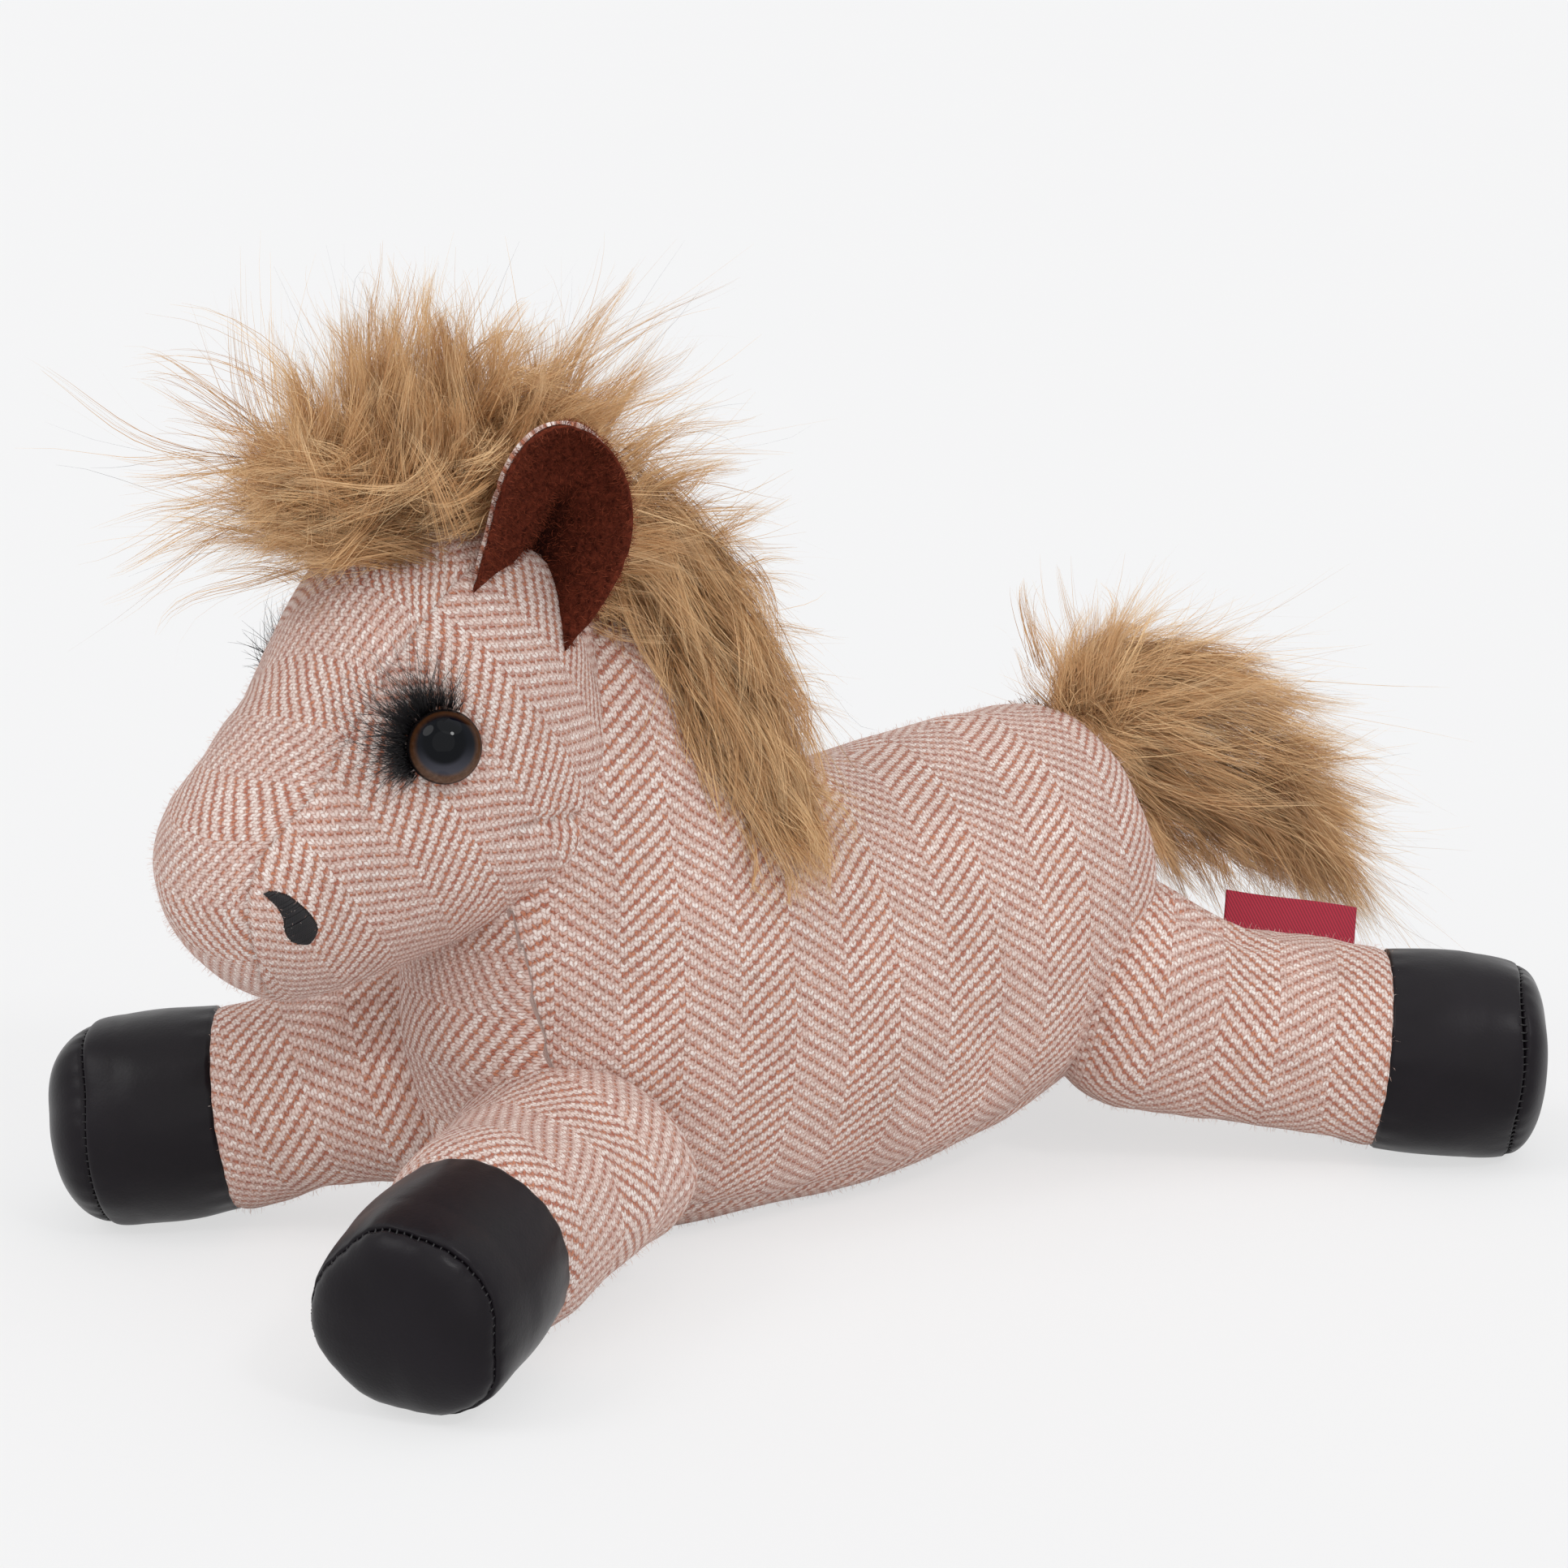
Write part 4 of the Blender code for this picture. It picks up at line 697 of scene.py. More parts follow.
def torso_side_map(grid):
    """The side panels' map: the cloth runs down from each ring's middle height, alike on both sides."""
    step = np.roll(grid, -1, 1) - grid
    flat_step = np.hypot(step[..., 1], step[..., 2])
    sides = grid.shape[1]
    quarter = sides // 4
    arc = np.zeros(grid.shape[:2])
    for k in range(quarter):
        arc[:, k + 1] = arc[:, k] - flat_step[:, k]
    for k in range(quarter):
        arc[:, (-k - 1) % sides] = arc[:, (-k) % sides] + flat_step[:, (-k - 1) % sides]
    mirror = (2 * quarter - np.arange(sides)) % sides
    right = grid[0, :, 1] > 1e-9
    arc[:, right] = arc[:, mirror[right]]
    along = arc - grid[:, :1, 2]
    return np.stack([grid[..., 0] + TORSO_CLOTH_SHIFT * MM + 8 * COLUMN_WIDTH, along], -1)


def make_torso(knit):
    """The torso and neck's cover: the CAD form drawn smooth, with chest and belly seams and its panels' maps."""
    rows = []
    for tx, tz, lx, lz, width, top_rise, low_rise in TORSO_SECTIONS:
        low = lz * TORSO_HEIGHT + low_rise * NECK_RISE if lz else -REST_FLAT
        rows.append((
            tx * TORSO_LENGTH, tz * TORSO_HEIGHT + top_rise * NECK_RISE,
            lx * TORSO_LENGTH, low, width * TORSO_WIDTH / 2,
        ))
    poles = [(x * TORSO_LENGTH, z * TORSO_HEIGHT + rise * NECK_RISE) for x, z, rise in TORSO_POLES]
    grid = oval_grid(rows, poles, 190, 144)[1:-1]
    normals = grid_normals(grid)
    chest = np.array(CHEST_SEAM) * MM
    belly = np.array(BELLY_SEAM) * MM
    chest_at = np.interp(grid[..., 2], chest[::-1, 1], chest[::-1, 0])
    belly_at = np.interp(grid[..., 0], belly[:, 0], belly[:, 1])
    from_chest = (grid[..., 0] - chest_at) / np.maximum(0.4, np.sqrt(1 - normals[..., 0] ** 2))
    from_belly = (grid[..., 2] - belly_at) / np.maximum(0.4, np.sqrt(np.maximum(0, 1 - normals[..., 2] ** 2)))
    from_belly = np.where(grid[..., 0] < chest_at, 1.0, from_belly)
    seam = np.where(np.abs(from_chest) < np.abs(from_belly), from_chest, from_belly)
    seam = np.where(from_chest < 0, np.minimum(from_chest, -1e-5), seam)
    chest_map = np.stack([grid[..., 2] * 1.02 + CHEST_CLOTH_SHIFT * MM, grid[..., 1]], -1)
    belly_map = np.stack([grid[..., 1] + 0.5 * COLUMN_WIDTH, grid[..., 0]], -1)
    gusset_map = np.where((from_chest < 0)[..., None], chest_map, belly_map)
    move = groove(seam, 2.0 * MM, 0.40 * MM)
    # Pressed flat, these seams hardly show
    seam = np.where(seam < 0, -1, 1) * (np.abs(seam) + 0.7 * MM)
    wave = soft_noise(grid, 16 * MM, 1)
    move += 0.7 * MM * wave * np.clip(grid[..., 2] / (12 * MM), 0, 1)
    moved = grid + normals * move[..., None]
    moved[..., 2] = np.maximum(moved[..., 2], CLOTH_CLEARANCE)
    maps = [("knit", closed_columns(torso_side_map(grid))), ("knit_gusset", closed_columns(gusset_map))]
    return skin_grid("torso_cover", moved, knit, maps, [("seam", seam)])


def round_hub(x, z):
    """The angle round the head's hub in side view, rising from the poll over the nose to the chin."""
    turn = np.arctan2(z - HEAD_HUB[1] * MM, x - HEAD_HUB[0] * MM)
    return np.where(turn < -math.pi * 0.25, turn + 2 * math.pi, turn)


def rolled_length(roll, limit):
    """Shares of a round form's reach up to a limit, and the length of its rolled surface up to each."""
    share = np.linspace(0, limit, 200)
    stretch = np.sqrt(1 + (roll * share) ** 2 / (1 - share ** 2))
    return share, np.concatenate([[0], np.cumsum((stretch[1:] + stretch[:-1]) / 2 * np.diff(share))])


def head_side_map(grid, turn, crest, crest_turn):
    """The side panels' map: flat at the cheek, so distances from the hub grow as the surface rolls away."""
    hub = np.array(HEAD_HUB) * MM
    crest_reach = np.hypot(crest[:, 0] - hub[0], crest[:, 2] - hub[1])
    share = np.clip(
        np.hypot(grid[..., 0] - hub[0], grid[..., 2] - hub[1]) / np.interp(turn, crest_turn, crest_reach), 0, 0.97
    )
    grow = np.interp(share, *rolled_length(CHEEK_ROLL, 0.97)) / np.maximum(share, 1e-6)
    x, z = (grid[..., 0] - hub[0]) * grow, (grid[..., 2] - hub[1]) * grow
    lean = math.radians(HEAD_CLOTH_LEAN)
    u = x * math.cos(lean) + z * math.sin(lean)
    v = x * math.sin(lean) - z * math.cos(lean)
    return np.stack([u + HEAD_CLOTH_SHIFT * MM + 8 * COLUMN_WIDTH, v], -1)


def head_gusset_map(grid, turn, crest_turn, crest_run):
    """The gusset's map. It is cut askew: its cloth turns slowly against the crest from forehead to chin."""
    run = np.interp(turn, crest_turn, crest_run)
    start = np.interp(round_hub(*np.array(GUSSET_START) * MM), crest_turn, crest_run)
    half_width = HEAD_WIDTH / 2
    rolled = np.interp(np.abs(grid[..., 1]) / half_width, *rolled_length(CREST_ROLL, 0.9))
    spread = rolled * half_width * np.sign(grid[..., 1])
    stations = np.linspace(crest_run[0], crest_run[-1], 300)
    skew = np.radians(np.interp(stations, start + np.array(GUSSET_SKEW_RUN) * MM, GUSSET_SKEW))
    pace = np.diff(stations, prepend=stations[0])

    def drift(part):
        moved_on = np.cumsum(part(skew) * pace)
        return np.interp(run, stations, moved_on) - np.interp(start, stations, moved_on)

    here = np.interp(run, stations, skew)
    ahead = drift(np.cos) - spread * np.sin(here)
    return np.stack([ahead + 10.5 * COLUMN_WIDTH, drift(np.sin) + spread * np.cos(here)], -1)


def make_head(knit):
    """The head's cover: side panels with a cheek dart, and the gusset from the poll over the nose to the chin."""
    grid = oval_grid(*placed(HEAD_SECTIONS, HEAD_POLES, NOD, HEAD_LENGTH, HEAD_DEPTH, HEAD_WIDTH), 150, 144)[1:-1]
    normals = grid_normals(grid)
    line = np.array(GUSSET_SEAM) * MM
    line_turn = round_hub(line[:, 0], line[:, 1])
    turn = round_hub(grid[..., 0], grid[..., 2])
    half = np.interp(turn, line_turn, line[:, 2], right=-8 * MM)
    slant = np.maximum(0.45, np.sqrt(np.maximum(0, 1 - normals[..., 1] ** 2)))
    seam = (np.abs(grid[..., 1]) - half) / slant
    sides = grid.shape[1]
    crest = np.concatenate([grid[:, sides // 4], grid[::-1, 3 * sides // 4]])
    crest_run = np.concatenate([[0], np.cumsum(np.linalg.norm(np.diff(crest, axis=0), axis=1))])
    crest_turn = np.maximum.accumulate(round_hub(crest[:, 0], crest[:, 2]))
    dart = np.array(CHEEK_DART) * MM
    mirrored_grid = grid * np.where(grid[..., 1:2] > 0, np.array((1, -1, 1)), 1)
    flat_view = np.array((1, 0, 1))
    dart_distance = np.where(
        mirrored_grid[..., 1] < -8 * MM, distance_to_path(mirrored_grid * flat_view, dart * flat_view), 1.0
    )
    seam = np.where(seam > 0, np.minimum(seam, np.maximum(dart_distance, 1e-5)), seam)
    move = groove(seam, 0.9 * MM, 0.45 * MM, 0.20 * MM) - 1.3 * MM * np.exp(-(dart_distance / (1.8 * MM)) ** 2)
    on_side = np.clip((-mirrored_grid[..., 1] - 8 * MM) / (6 * MM), 0, 1)
    for ahead_at, height_at, wide, tall, swell in HEAD_SWELLS:
        off = ((grid[..., 0] / MM - ahead_at) / wide) ** 2 + ((grid[..., 2] / MM - height_at) / tall) ** 2
        move += swell * MM * np.exp(-off) * on_side
    from_eye = np.linalg.norm(mirrored_grid - EYE_SEAT, axis=-1)
    move -= 1.6 * MM * np.exp(-(from_eye / (9 * MM)) ** 4)
    move += 0.45 * MM * soft_noise(grid, 14 * MM, 2)
    near_middle = np.exp(-(grid[..., 1] / (26 * MM)) ** 4)
    move -= near_middle * np.interp(np.degrees(turn), *np.array(PROFILE_TRIM).T) * MM
    moved = grid + normals * move[..., None]
    maps = [
        ("knit", closed_columns(head_side_map(grid, turn, crest, crest_turn))),
        ("knit_gusset", closed_columns(head_gusset_map(grid, turn, crest_turn, crest_run))),
    ]
    return skin_grid("head_cover", moved, knit, maps, [("seam", seam)])


def leg_lines(leg):
    """The left leg's root, hoof seam middle and hoof axis."""
    spread, slope = math.radians(leg["spread"]), math.radians(leg["slope"])
    axis = np.array((
        leg["heading"] * math.cos(spread) * math.cos(slope), -math.sin(spread) * math.cos(slope), -math.sin(slope)
    ))
    root = np.array(leg["root"]) * (1, -1, 1)
    edge = root + axis * leg["reach"]
    edge[2] = leg["radius"] - REST_FLAT - axis[2] * HOOF_LENGTH * 0.72
    return root, edge, axis


def ring_about(middle, along, radius, sides, twist=0.0):
    """A ring square to a direction; it starts at the outer side and its top is at a quarter turn."""
    across = np.cross(along, (0, 0, 1))
    across /= np.linalg.norm(across)
    rise = np.cross(across, along)
    turn = 2 * np.pi * np.arange(sides) / sides + twist
    reach = np.reshape(radius, (-1, 1))
    return middle + np.outer(np.sin(turn), rise) * reach + np.outer(np.cos(turn), across) * reach


def to_side(points, side):
    """Points of a left-hand piece, mirrored for the right."""
    return points * ((1, 1, 1) if side == "left" else (1, -1, 1))


def make_leg(side, name, knit):
    """A leg's cover, from its root in the torso to the hoof's seam, where it turns in."""
    leg = LEGS[name]
    root, edge, axis = leg_lines(leg)
    trim, rise, back, under = np.array(STUFFING[side, name][:4]) * MM
    edge = edge + (0, 0, TRIM_LIFT * trim)
    run = (edge - root) / np.linalg.norm(edge - root)
    start = root - run * LEG_SINK
    reach = np.linalg.norm(edge - start)
    seam_radius = leg["radius"] + trim - HOOF_SWELL
    shares = [-LEG_ROOT_RADIUS * 0.16 / reach, 0.0, 0.17, 0.42, 0.66, 0.86, 1.0]
    radii = [0.0, LEG_ROOT_RADIUS * 0.62] + [
        LEG_RADIUS + (LEG_ROOT_RADIUS - LEG_RADIUS) * swell for swell in (1.0, 0.80, 0.45, 0.18)
    ] + [seam_radius]
    rows = np.column_stack([np.array(shares) * reach, radii])
    rows = np.vstack([rows[1] * (1, -1), rows, rows[-1] + (reach * 0.1, 0.0)])
    profile = smooth_through(rows, np.linspace(0.004, 1, 110))
    sides = 128
    grid = []
    for distance, radius in profile:
        share = distance / reach
        middle = start + (edge - start) * share
        mix = np.clip(share, 0, 1)
        heading = run * (1 - mix) + axis * mix
        grid.append(ring_about(middle, heading / np.linalg.norm(heading), radius, sides))
    # The cloth turns in under the hoof's seam and stops inside it
    for depth, inset in ((0.6, 0.7), (1.6, 1.5), (3.0, 2.0)):
        grid.append(ring_about(edge + axis * depth * MM, axis, seam_radius - inset * MM, sides))
    grid = np.array(grid)
    normals = grid_normals(grid)
    distance = np.concatenate([profile[:, 0], reach + np.array((0.9, 2.2, 3.8)) * MM])
    turn = 2 * np.pi * np.arange(sides + 1) / sides
    around = (turn - math.pi / 2) * LEG_RADIUS
    # The map's jump lies along the leg's underside
    around[3 * sides // 4:] -= 2 * math.pi * LEG_RADIUS
    ahead = 9 * COLUMN_WIDTH
    unrolled = np.stack(np.broadcast_arrays(distance[:, None] - reach + ahead, around[None, :]), -1)
    if name == "foreleg":
        lean = math.radians(FORELEG_CLOTH_TURN)
        u, v = unrolled[..., 0] - ahead, unrolled[..., 1]
        unrolled = np.stack(
            [u * math.cos(lean) - v * math.sin(lean) + ahead, u * math.sin(lean) + v * math.cos(lean)], -1
        )
    from_lowest = (turn[:-1] - 3 * math.pi / 2) * seam_radius
    seam = np.broadcast_to(np.abs(from_lowest)[None, :] + 2 * MM, grid.shape[:2]).copy()
    to_hoof = reach - distance
    wave = soft_noise(grid, 13 * MM, 3 if name == "foreleg" else 5)
    move = 0.8 * MM * wave * np.clip(to_hoof / (10 * MM), 0, 1)[:, None]
    move += -0.5 * MM * np.exp(-(to_hoof / (1.5 * MM)) ** 2)[:, None]
    if name == "hind_leg":
        # Gathers run back from the thigh's seam
        gather = np.sin(
            turn[:-1] * 15 + 1.3 * np.sin(turn[:-1] * 4)
        ) * np.exp(-((turn[:-1] - math.pi / 2) / 0.9) ** 2)
        reach_in = np.exp(-((distance - 0.028) / 0.013) ** 2)
        move += 0.9 * MM * gather[None, :] * reach_in[:, None]
        crest = np.maximum(0, np.sin(turn[:-1])) ** 1.5
        move -= 4.6 * MM * np.exp(-((to_hoof - 36 * MM) / (17 * MM)) ** 2)[:, None] * crest
    near_root = np.clip((reach - distance) / (0.55 * reach), 0, 1)
    near_root = (near_root ** 2 * (3 - 2 * near_root))[:, None]
    move += near_root * (rise * np.maximum(0, np.sin(turn[:-1])) + back * np.maximum(0, -np.cos(turn[:-1])))
    move -= near_root * under * np.maximum(0, -np.sin(turn[:-1])) ** 1.5
    moved = grid + normals * move[..., None]
    moved[..., 2] = np.maximum(moved[..., 2], CLOTH_CLEARANCE)
    moved = to_side(moved, side)
    return skin_grid(
        f"{side}_{name}_cover", moved, knit, [("knit", unrolled), ("knit_gusset", unrolled)], [("seam", seam)]
    )


def sole_wobble(turn, seed):
    """How far the sole's seam wanders along the hoof, in metres."""
    return (
        0.8 * np.sin(2 * turn + seed) + 0.6 * np.sin(3 * turn + 2.1 * seed) + 0.35 * np.sin(5 * turn + 3.7 * seed)
    ) * 0.8 * MM


def sole_outline(turn, seed):
    """The sole's radius as a share: nearly round, with the flats and corners of a hand-turned seam."""
    return (
        1 + 0.022 * np.sin(3 * turn + 1.7 * seed) + 0.018 * np.sin(5 * turn + seed)
        + 0.010 * np.sin(8 * turn + 2.9 * seed)
    )


def sole_stitches(edge, axis, rim, seam_at, seed):
    """The lines of the sole seam's stitches, each a short thread that bridges the groove."""
    stitches = []
    for angle in 2 * math.pi * np.arange(SOLE_STITCHES) / SOLE_STITCHES:
        spot = np.array([angle])
        shift, share = sole_wobble(spot, seed)[0], sole_outline(spot, seed)[0]
        centre = edge + axis * ((seam_at + 0.1) * MM + shift)
        low = ring_about(centre - axis * 0.9 * MM, axis, np.full(1, rim * share + 0.10 * MM), 1, angle)[0]
        high = ring_about(centre + axis * 0.8 * MM, axis, np.full(1, rim * share - 0.75 * MM), 1, angle + 0.014)[0]
        middle = (low + high) / 2 - (low - centre) / np.linalg.norm(low - centre) * 0.25 * MM
        thread_line = np.array((low, middle, high))
        thread_line[:, 2] = np.maximum(thread_line[:, 2], 0.3 * MM)
        stitches.append(thread_line)
    return np.array(stitches)


def make_hoof(side, name, leather, thread, seed):
    """A hoof: the band with its rolled shoulder, the domed sole, and the stitches of the seam between them."""
    leg = LEGS[name]
    _, edge, axis = leg_lines(leg)
    trim, set_back = STUFFING[side, name][0] * MM, STUFFING[side, name][4] * MM
    edge = edge + (0, 0, TRIM_LIFT * trim)
    radius = leg["radius"] + trim
    seam_radius = radius - HOOF_SWELL
    sides = 144
    turn = 2 * np.pi * np.arange(sides) / sides
    wobble = sole_wobble(turn, seed)
    outline = sole_outline(turn, seed)
    rim = radius - SHOULDER_DROP

    band = []
    body = [
        (station, seam_radius + 0.9 * MM * math.sin(math.pi * station / 27))
        for station in np.linspace(0.6, SHOULDER_FROM, 26)
    ]
    start_radius = body[-1][1]
    seam_at = SOLE_SEAM_AT - set_back / MM
    shoulder = [
        (SHOULDER_FROM + (seam_at - SHOULDER_FROM) * math.sin(a), rim + (start_radius - rim) * math.cos(a))
        for a in np.linspace(0.12, math.pi / 2, 16)
    ]
    tuck = [(seam_at + 0.1, rim - 0.45 * MM), (seam_at - 0.2, rim - 1.1 * MM), (seam_at - 1.2, rim - 2.2 * MM)]
    head_tuck = [(-0.9, seam_radius - 1.6 * MM), (-0.5, seam_radius - 0.5 * MM), (0.0, seam_radius)]
    for station, full in head_tuck + body + shoulder + tuck:
        near_end = max(0.0, min(1.0, (station - 16) / 14))
        near_edge = math.exp(-(station / 4) ** 2)
        pucker = (
            np.sin(SOLE_PUCKERS * turn + 3 * seed) * 0.10 * MM * near_end ** 6
            + np.sin(23 * turn + seed) * 0.10 * MM * near_edge
        )
        ring = ring_about(edge + axis * station * MM, axis, full * (1 + (outline - 1) * near_end) + pucker, sides)
        ring += np.outer(wobble * near_end ** 1.5, axis)
        band.append(ring)
    band = np.array(band)
    soft = soft_noise(band, 19 * MM, seed, 1)
    normals = grid_normals(band)
    band = band + normals * (0.75 * MM * soft[..., None])
    band[..., 2] = np.maximum(band[..., 2], LEATHER_CLEARANCE)

    sole = []
    for k, share in enumerate(np.concatenate([[-0.06, 0.0], np.linspace(0.02, 1.0, 30) ** 0.8])):
        angle = min(max(share, 0) * math.pi / 2, math.pi / 2 - 0.02)
        ring_radius = (rim - 0.5 * MM) * math.cos(angle) ** 0.75
        height = (SOLE_DOME + 1.2 * MM + 1.15 * set_back) * math.sin(angle)
        if k == 0:
            ring_radius, height = rim - 3.0 * MM, -1.2 * MM
        elif k == 1:
            ring_radius, height = rim - 1.2 * MM, -0.3 * MM
        near_rim = math.exp(-(angle / 0.30) ** 2)
        stitch_pull = np.sin(SOLE_PUCKERS * turn + 3 * seed + 0.4) * 0.12 * MM * near_rim
        ring = ring_about(
            edge + axis * ((seam_at + 0.2) * MM + height), axis, ring_radius * outline + stitch_pull, sides
        )
        ring += np.outer(wobble * np.clip(ring_radius / rim, 0, 1) ** 2, axis)
        sole.append(ring)
    sole = np.array(sole)
    soft = soft_noise(sole, 20 * MM, seed + 9, 1)
    sole = sole + axis * (0.7 * MM * soft[..., None])
    sole[..., 2] = np.maximum(sole[..., 2], LEATHER_CLEARANCE)
    pieces = [
        skin_grid(f"{side}_{HOOFS[name]}_band_leather", to_side(band, side), leather),
        skin_grid(f"{side}_{HOOFS[name]}_sole_leather", to_side(sole, side), leather),
    ]
    stitches = sole_stitches(edge, axis, rim, seam_at, seed)
    pieces.append(tubes(f"{side}_{HOOFS[name]}_stitches", to_side(stitches, side), 0.20 * MM, thread))
    return pieces


def curve_between(start, bend, end, t):
    """Points at shares t of a curve that leaves start toward bend and arrives at end from it."""
    return (1 - t) ** 2 * start + 2 * t * (1 - t) * bend + t ** 2 * end


def tubes(name, paths, radius, material, corners=6, taper=False):
    """Round threads along paths, an array of threads × points × 3; they close at both ends."""
    paths = np.asarray(paths, float)
    count, steps = paths.shape[:2]
    along = np.gradient(paths, axis=1)
    along /= np.linalg.norm(along, axis=2, keepdims=True)
    hint = np.where(np.abs(along[..., 2:3]) < 0.9, (0.0, 0.0, 1.0), (1.0, 0.0, 0.0))
    across = np.cross(along, hint)
    across /= np.linalg.norm(across, axis=2, keepdims=True)
    rise = np.cross(across, along)
    size = np.ones(steps) if not taper else np.linspace(1, 0.15, steps)
    turn = 2 * np.pi * np.arange(corners) / corners
    ring = across[:, :, None] * np.cos(turn)[:, None] + rise[:, :, None] * np.sin(turn)[:, None]
    points = paths[:, :, None] + ring * (radius * size)[None, :, None, None]
    index = np.arange(count * steps * corners).reshape(count, steps, corners)
    rolled = np.roll(index, -1, 2)
    quads = np.stack([index[:, :-1], rolled[:, :-1], rolled[:, 1:], index[:, 1:]], -1).reshape(-1, 4)
    caps = [*index[:, 0, ::-1].reshape(-1, corners), *index[:, -1].reshape(-1, corners)]
    tone = np.repeat(chance.random(count), steps * corners)
    along_share = np.tile(np.repeat(np.linspace(0, 1, steps), corners), count)
    faces = [*quads, *caps]
    corners_of = np.concatenate([np.asarray(f) for f in faces])
    strand_map = np.column_stack([tone[corners_of] * 0.96, along_share[corners_of]])
    return make_mesh(name, points.reshape(-1, 3), faces, [("OFBake", strand_map)], (), material)


def hair_strands(name, paths, runs, widths, tones, material):
    """Flat tapered strands along paths, strands × points × 3; OFBake maps each one's tone and its run to the tip."""
    count, steps = paths.shape[:2]
    along = np.gradient(paths, axis=1)
    along /= np.maximum(np.linalg.norm(along, axis=2, keepdims=True), 1e-12)
    facing = chance.normal(size=(count, 1, 3))
    across = np.cross(along, facing)
    across /= np.maximum(np.linalg.norm(across, axis=2, keepdims=True), 1e-12)
    shape = np.clip(1.15 - np.linspace(0, 1, steps) ** 1.6, 0.12, 1.0)
    half = across * (widths[:, None, None] * shape[None, :, None] / 2)
    points = np.stack([paths - half, paths + half], 2)
    index = np.arange(count * steps * 2).reshape(count, steps, 2)
    quads = np.stack([index[:, :-1, 0], index[:, :-1, 1], index[:, 1:, 1], index[:, 1:, 0]], -1).reshape(-1, 4)
    corners_of = quads.ravel()
    tone = np.repeat(tones, steps * 2)
    run = np.repeat(runs.ravel(), 2)
    strand_map = np.column_stack([tone[corners_of], run[corners_of]])
    return make_mesh(name, points.reshape(-1, 3), quads, [("OFBake", strand_map)], (), material)


def fur_locks(roots, bends, tips, thickness, strands, wave=1.8 * MM, steps=8):
    """Locks that leave their root wide, bend as one and end in a point; some strands fly off.

    Returns the strands' paths, their runs from root to tip, and their tones.
    """
    locks = len(roots)
    lock = np.repeat(np.arange(locks), strands)
    count = len(lock)
    first = chance.uniform(0.0, 0.30, count)
    last = np.clip(1.0 - chance.exponential(0.14, count), first + 0.35, 1.0)
    run = first[:, None] + (last - first)[:, None] * np.linspace(0, 1, steps)
    t = run[..., None]
    paths = curve_between(roots[lock][:, None], bends[lock][:, None], tips[lock][:, None], t)
    turns = chance.uniform(0.5, 1.2, (locks, 1, 1))[lock]
    phase = chance.uniform(0, 2 * math.pi, (locks, 1, 3))[lock]
    paths += wave * t * (np.sin(2 * math.pi * turns * t + phase) - np.sin(phase))
    spread = chance.normal(size=(count, 1, 3)) * 0.5
    paths += spread * thickness[lock][:, None, None] * (0.20 + 0.80 * (1 - t) ** 0.75)
    length = np.linalg.norm(tips - roots, axis=1)[lock][:, None, None]
    flies = (chance.random(count) < 0.34)[:, None, None]
    paths += flies * t ** 2 * length * 0.17 * chance.normal(size=(count, 1, 3))
    own_phase = chance.uniform(0, 2 * math.pi, (count, 1, 3))
    paths += 0.30 * MM * np.sin(5 * t + own_phase)
    tones = np.clip(0.50 * chance.beta(1.6, 1.6, locks)[lock] + 0.50 * chance.random(count), 0, 0.95)
    return paths, run, tones


def uneven(thickness, count):
    """So many locks' thicknesses round the given one in mm."""
    return np.full(count, thickness * MM) * chance.uniform(0.7, 1.3, count)


def guard_hairs(paths, count, longest):
    """Longer stray hairs that follow some of the strands past their tips; nearly half end dark."""
    chosen = chance.integers(0, len(paths), count)
    root = paths[chosen][:, :1]
    stretch = chance.uniform(1.1, longest, (count, 1, 1))
    strays = root + (paths[chosen] - root) * stretch
    strays += chance.normal(0, 1.2 * MM, (count, 1, 3)) * np.linspace(0, 1, paths.shape[1])[None, :, None] ** 2
    return strays, np.where(chance.random(count) < 0.45, 0.99, 0.7)


def finish_fur(name, groups, strays, fur):
    """One fur piece from groups of locks and from stray hairs."""
    paths = np.concatenate([g[0] for g in groups])
    runs = np.concatenate([g[1] for g in groups])
    tones = np.concatenate([g[2] for g in groups])
    stray_paths, stray_tones = guard_hairs(paths, *strays)
    widths = chance.uniform(0.08, 0.17, len(paths)) * MM
    widths = np.concatenate([widths, np.full(len(stray_paths), 0.08 * MM)])
    stray_runs = np.broadcast_to(np.linspace(0, 1, paths.shape[1]), stray_paths.shape[:2])
    paths = keep_in_box(np.concatenate([paths, stray_paths]))
    free = ~in_ear_cup(paths)
    runs, tones = np.concatenate([runs, stray_runs]), np.concatenate([tones, stray_tones])
    return hair_strands(name, paths[free], runs[free], widths[free], tones[free], fur)


def in_ear_cup(paths):
    """Which strands pass in front of an ear's felt."""
    inside = np.zeros(len(paths), bool)
    for mirror in ((1, 1, 1), (1, -1, 1)):
        place = paths * np.array(mirror) - EAR_ORIGIN
        x, y, z = (place @ axis for axis in (EAR_BACKWARD, EAR_UPWARD, EAR_OUTWARD))
        height = np.clip(y / EAR_HEIGHT, 0, 1)
        x = x - EAR_SET_BACK + EAR_SWEEP * height ** 1.5
        across = np.clip(x / (EAR_WIDTH / 2), -1, 1)
        felt = -EAR_CUP * (1 - across ** 2) - EAR_LEAN * height ** 2 - EAR_FOLD * ear_crease(across, height, 0.16)
        inside |= (
            (np.abs(x) < 16 * MM) & (y > -6 * MM) & (y < 41 * MM) & (z > felt - 2.5 * MM) & (z < 40 * MM)
        ).any(axis=1)
    return inside


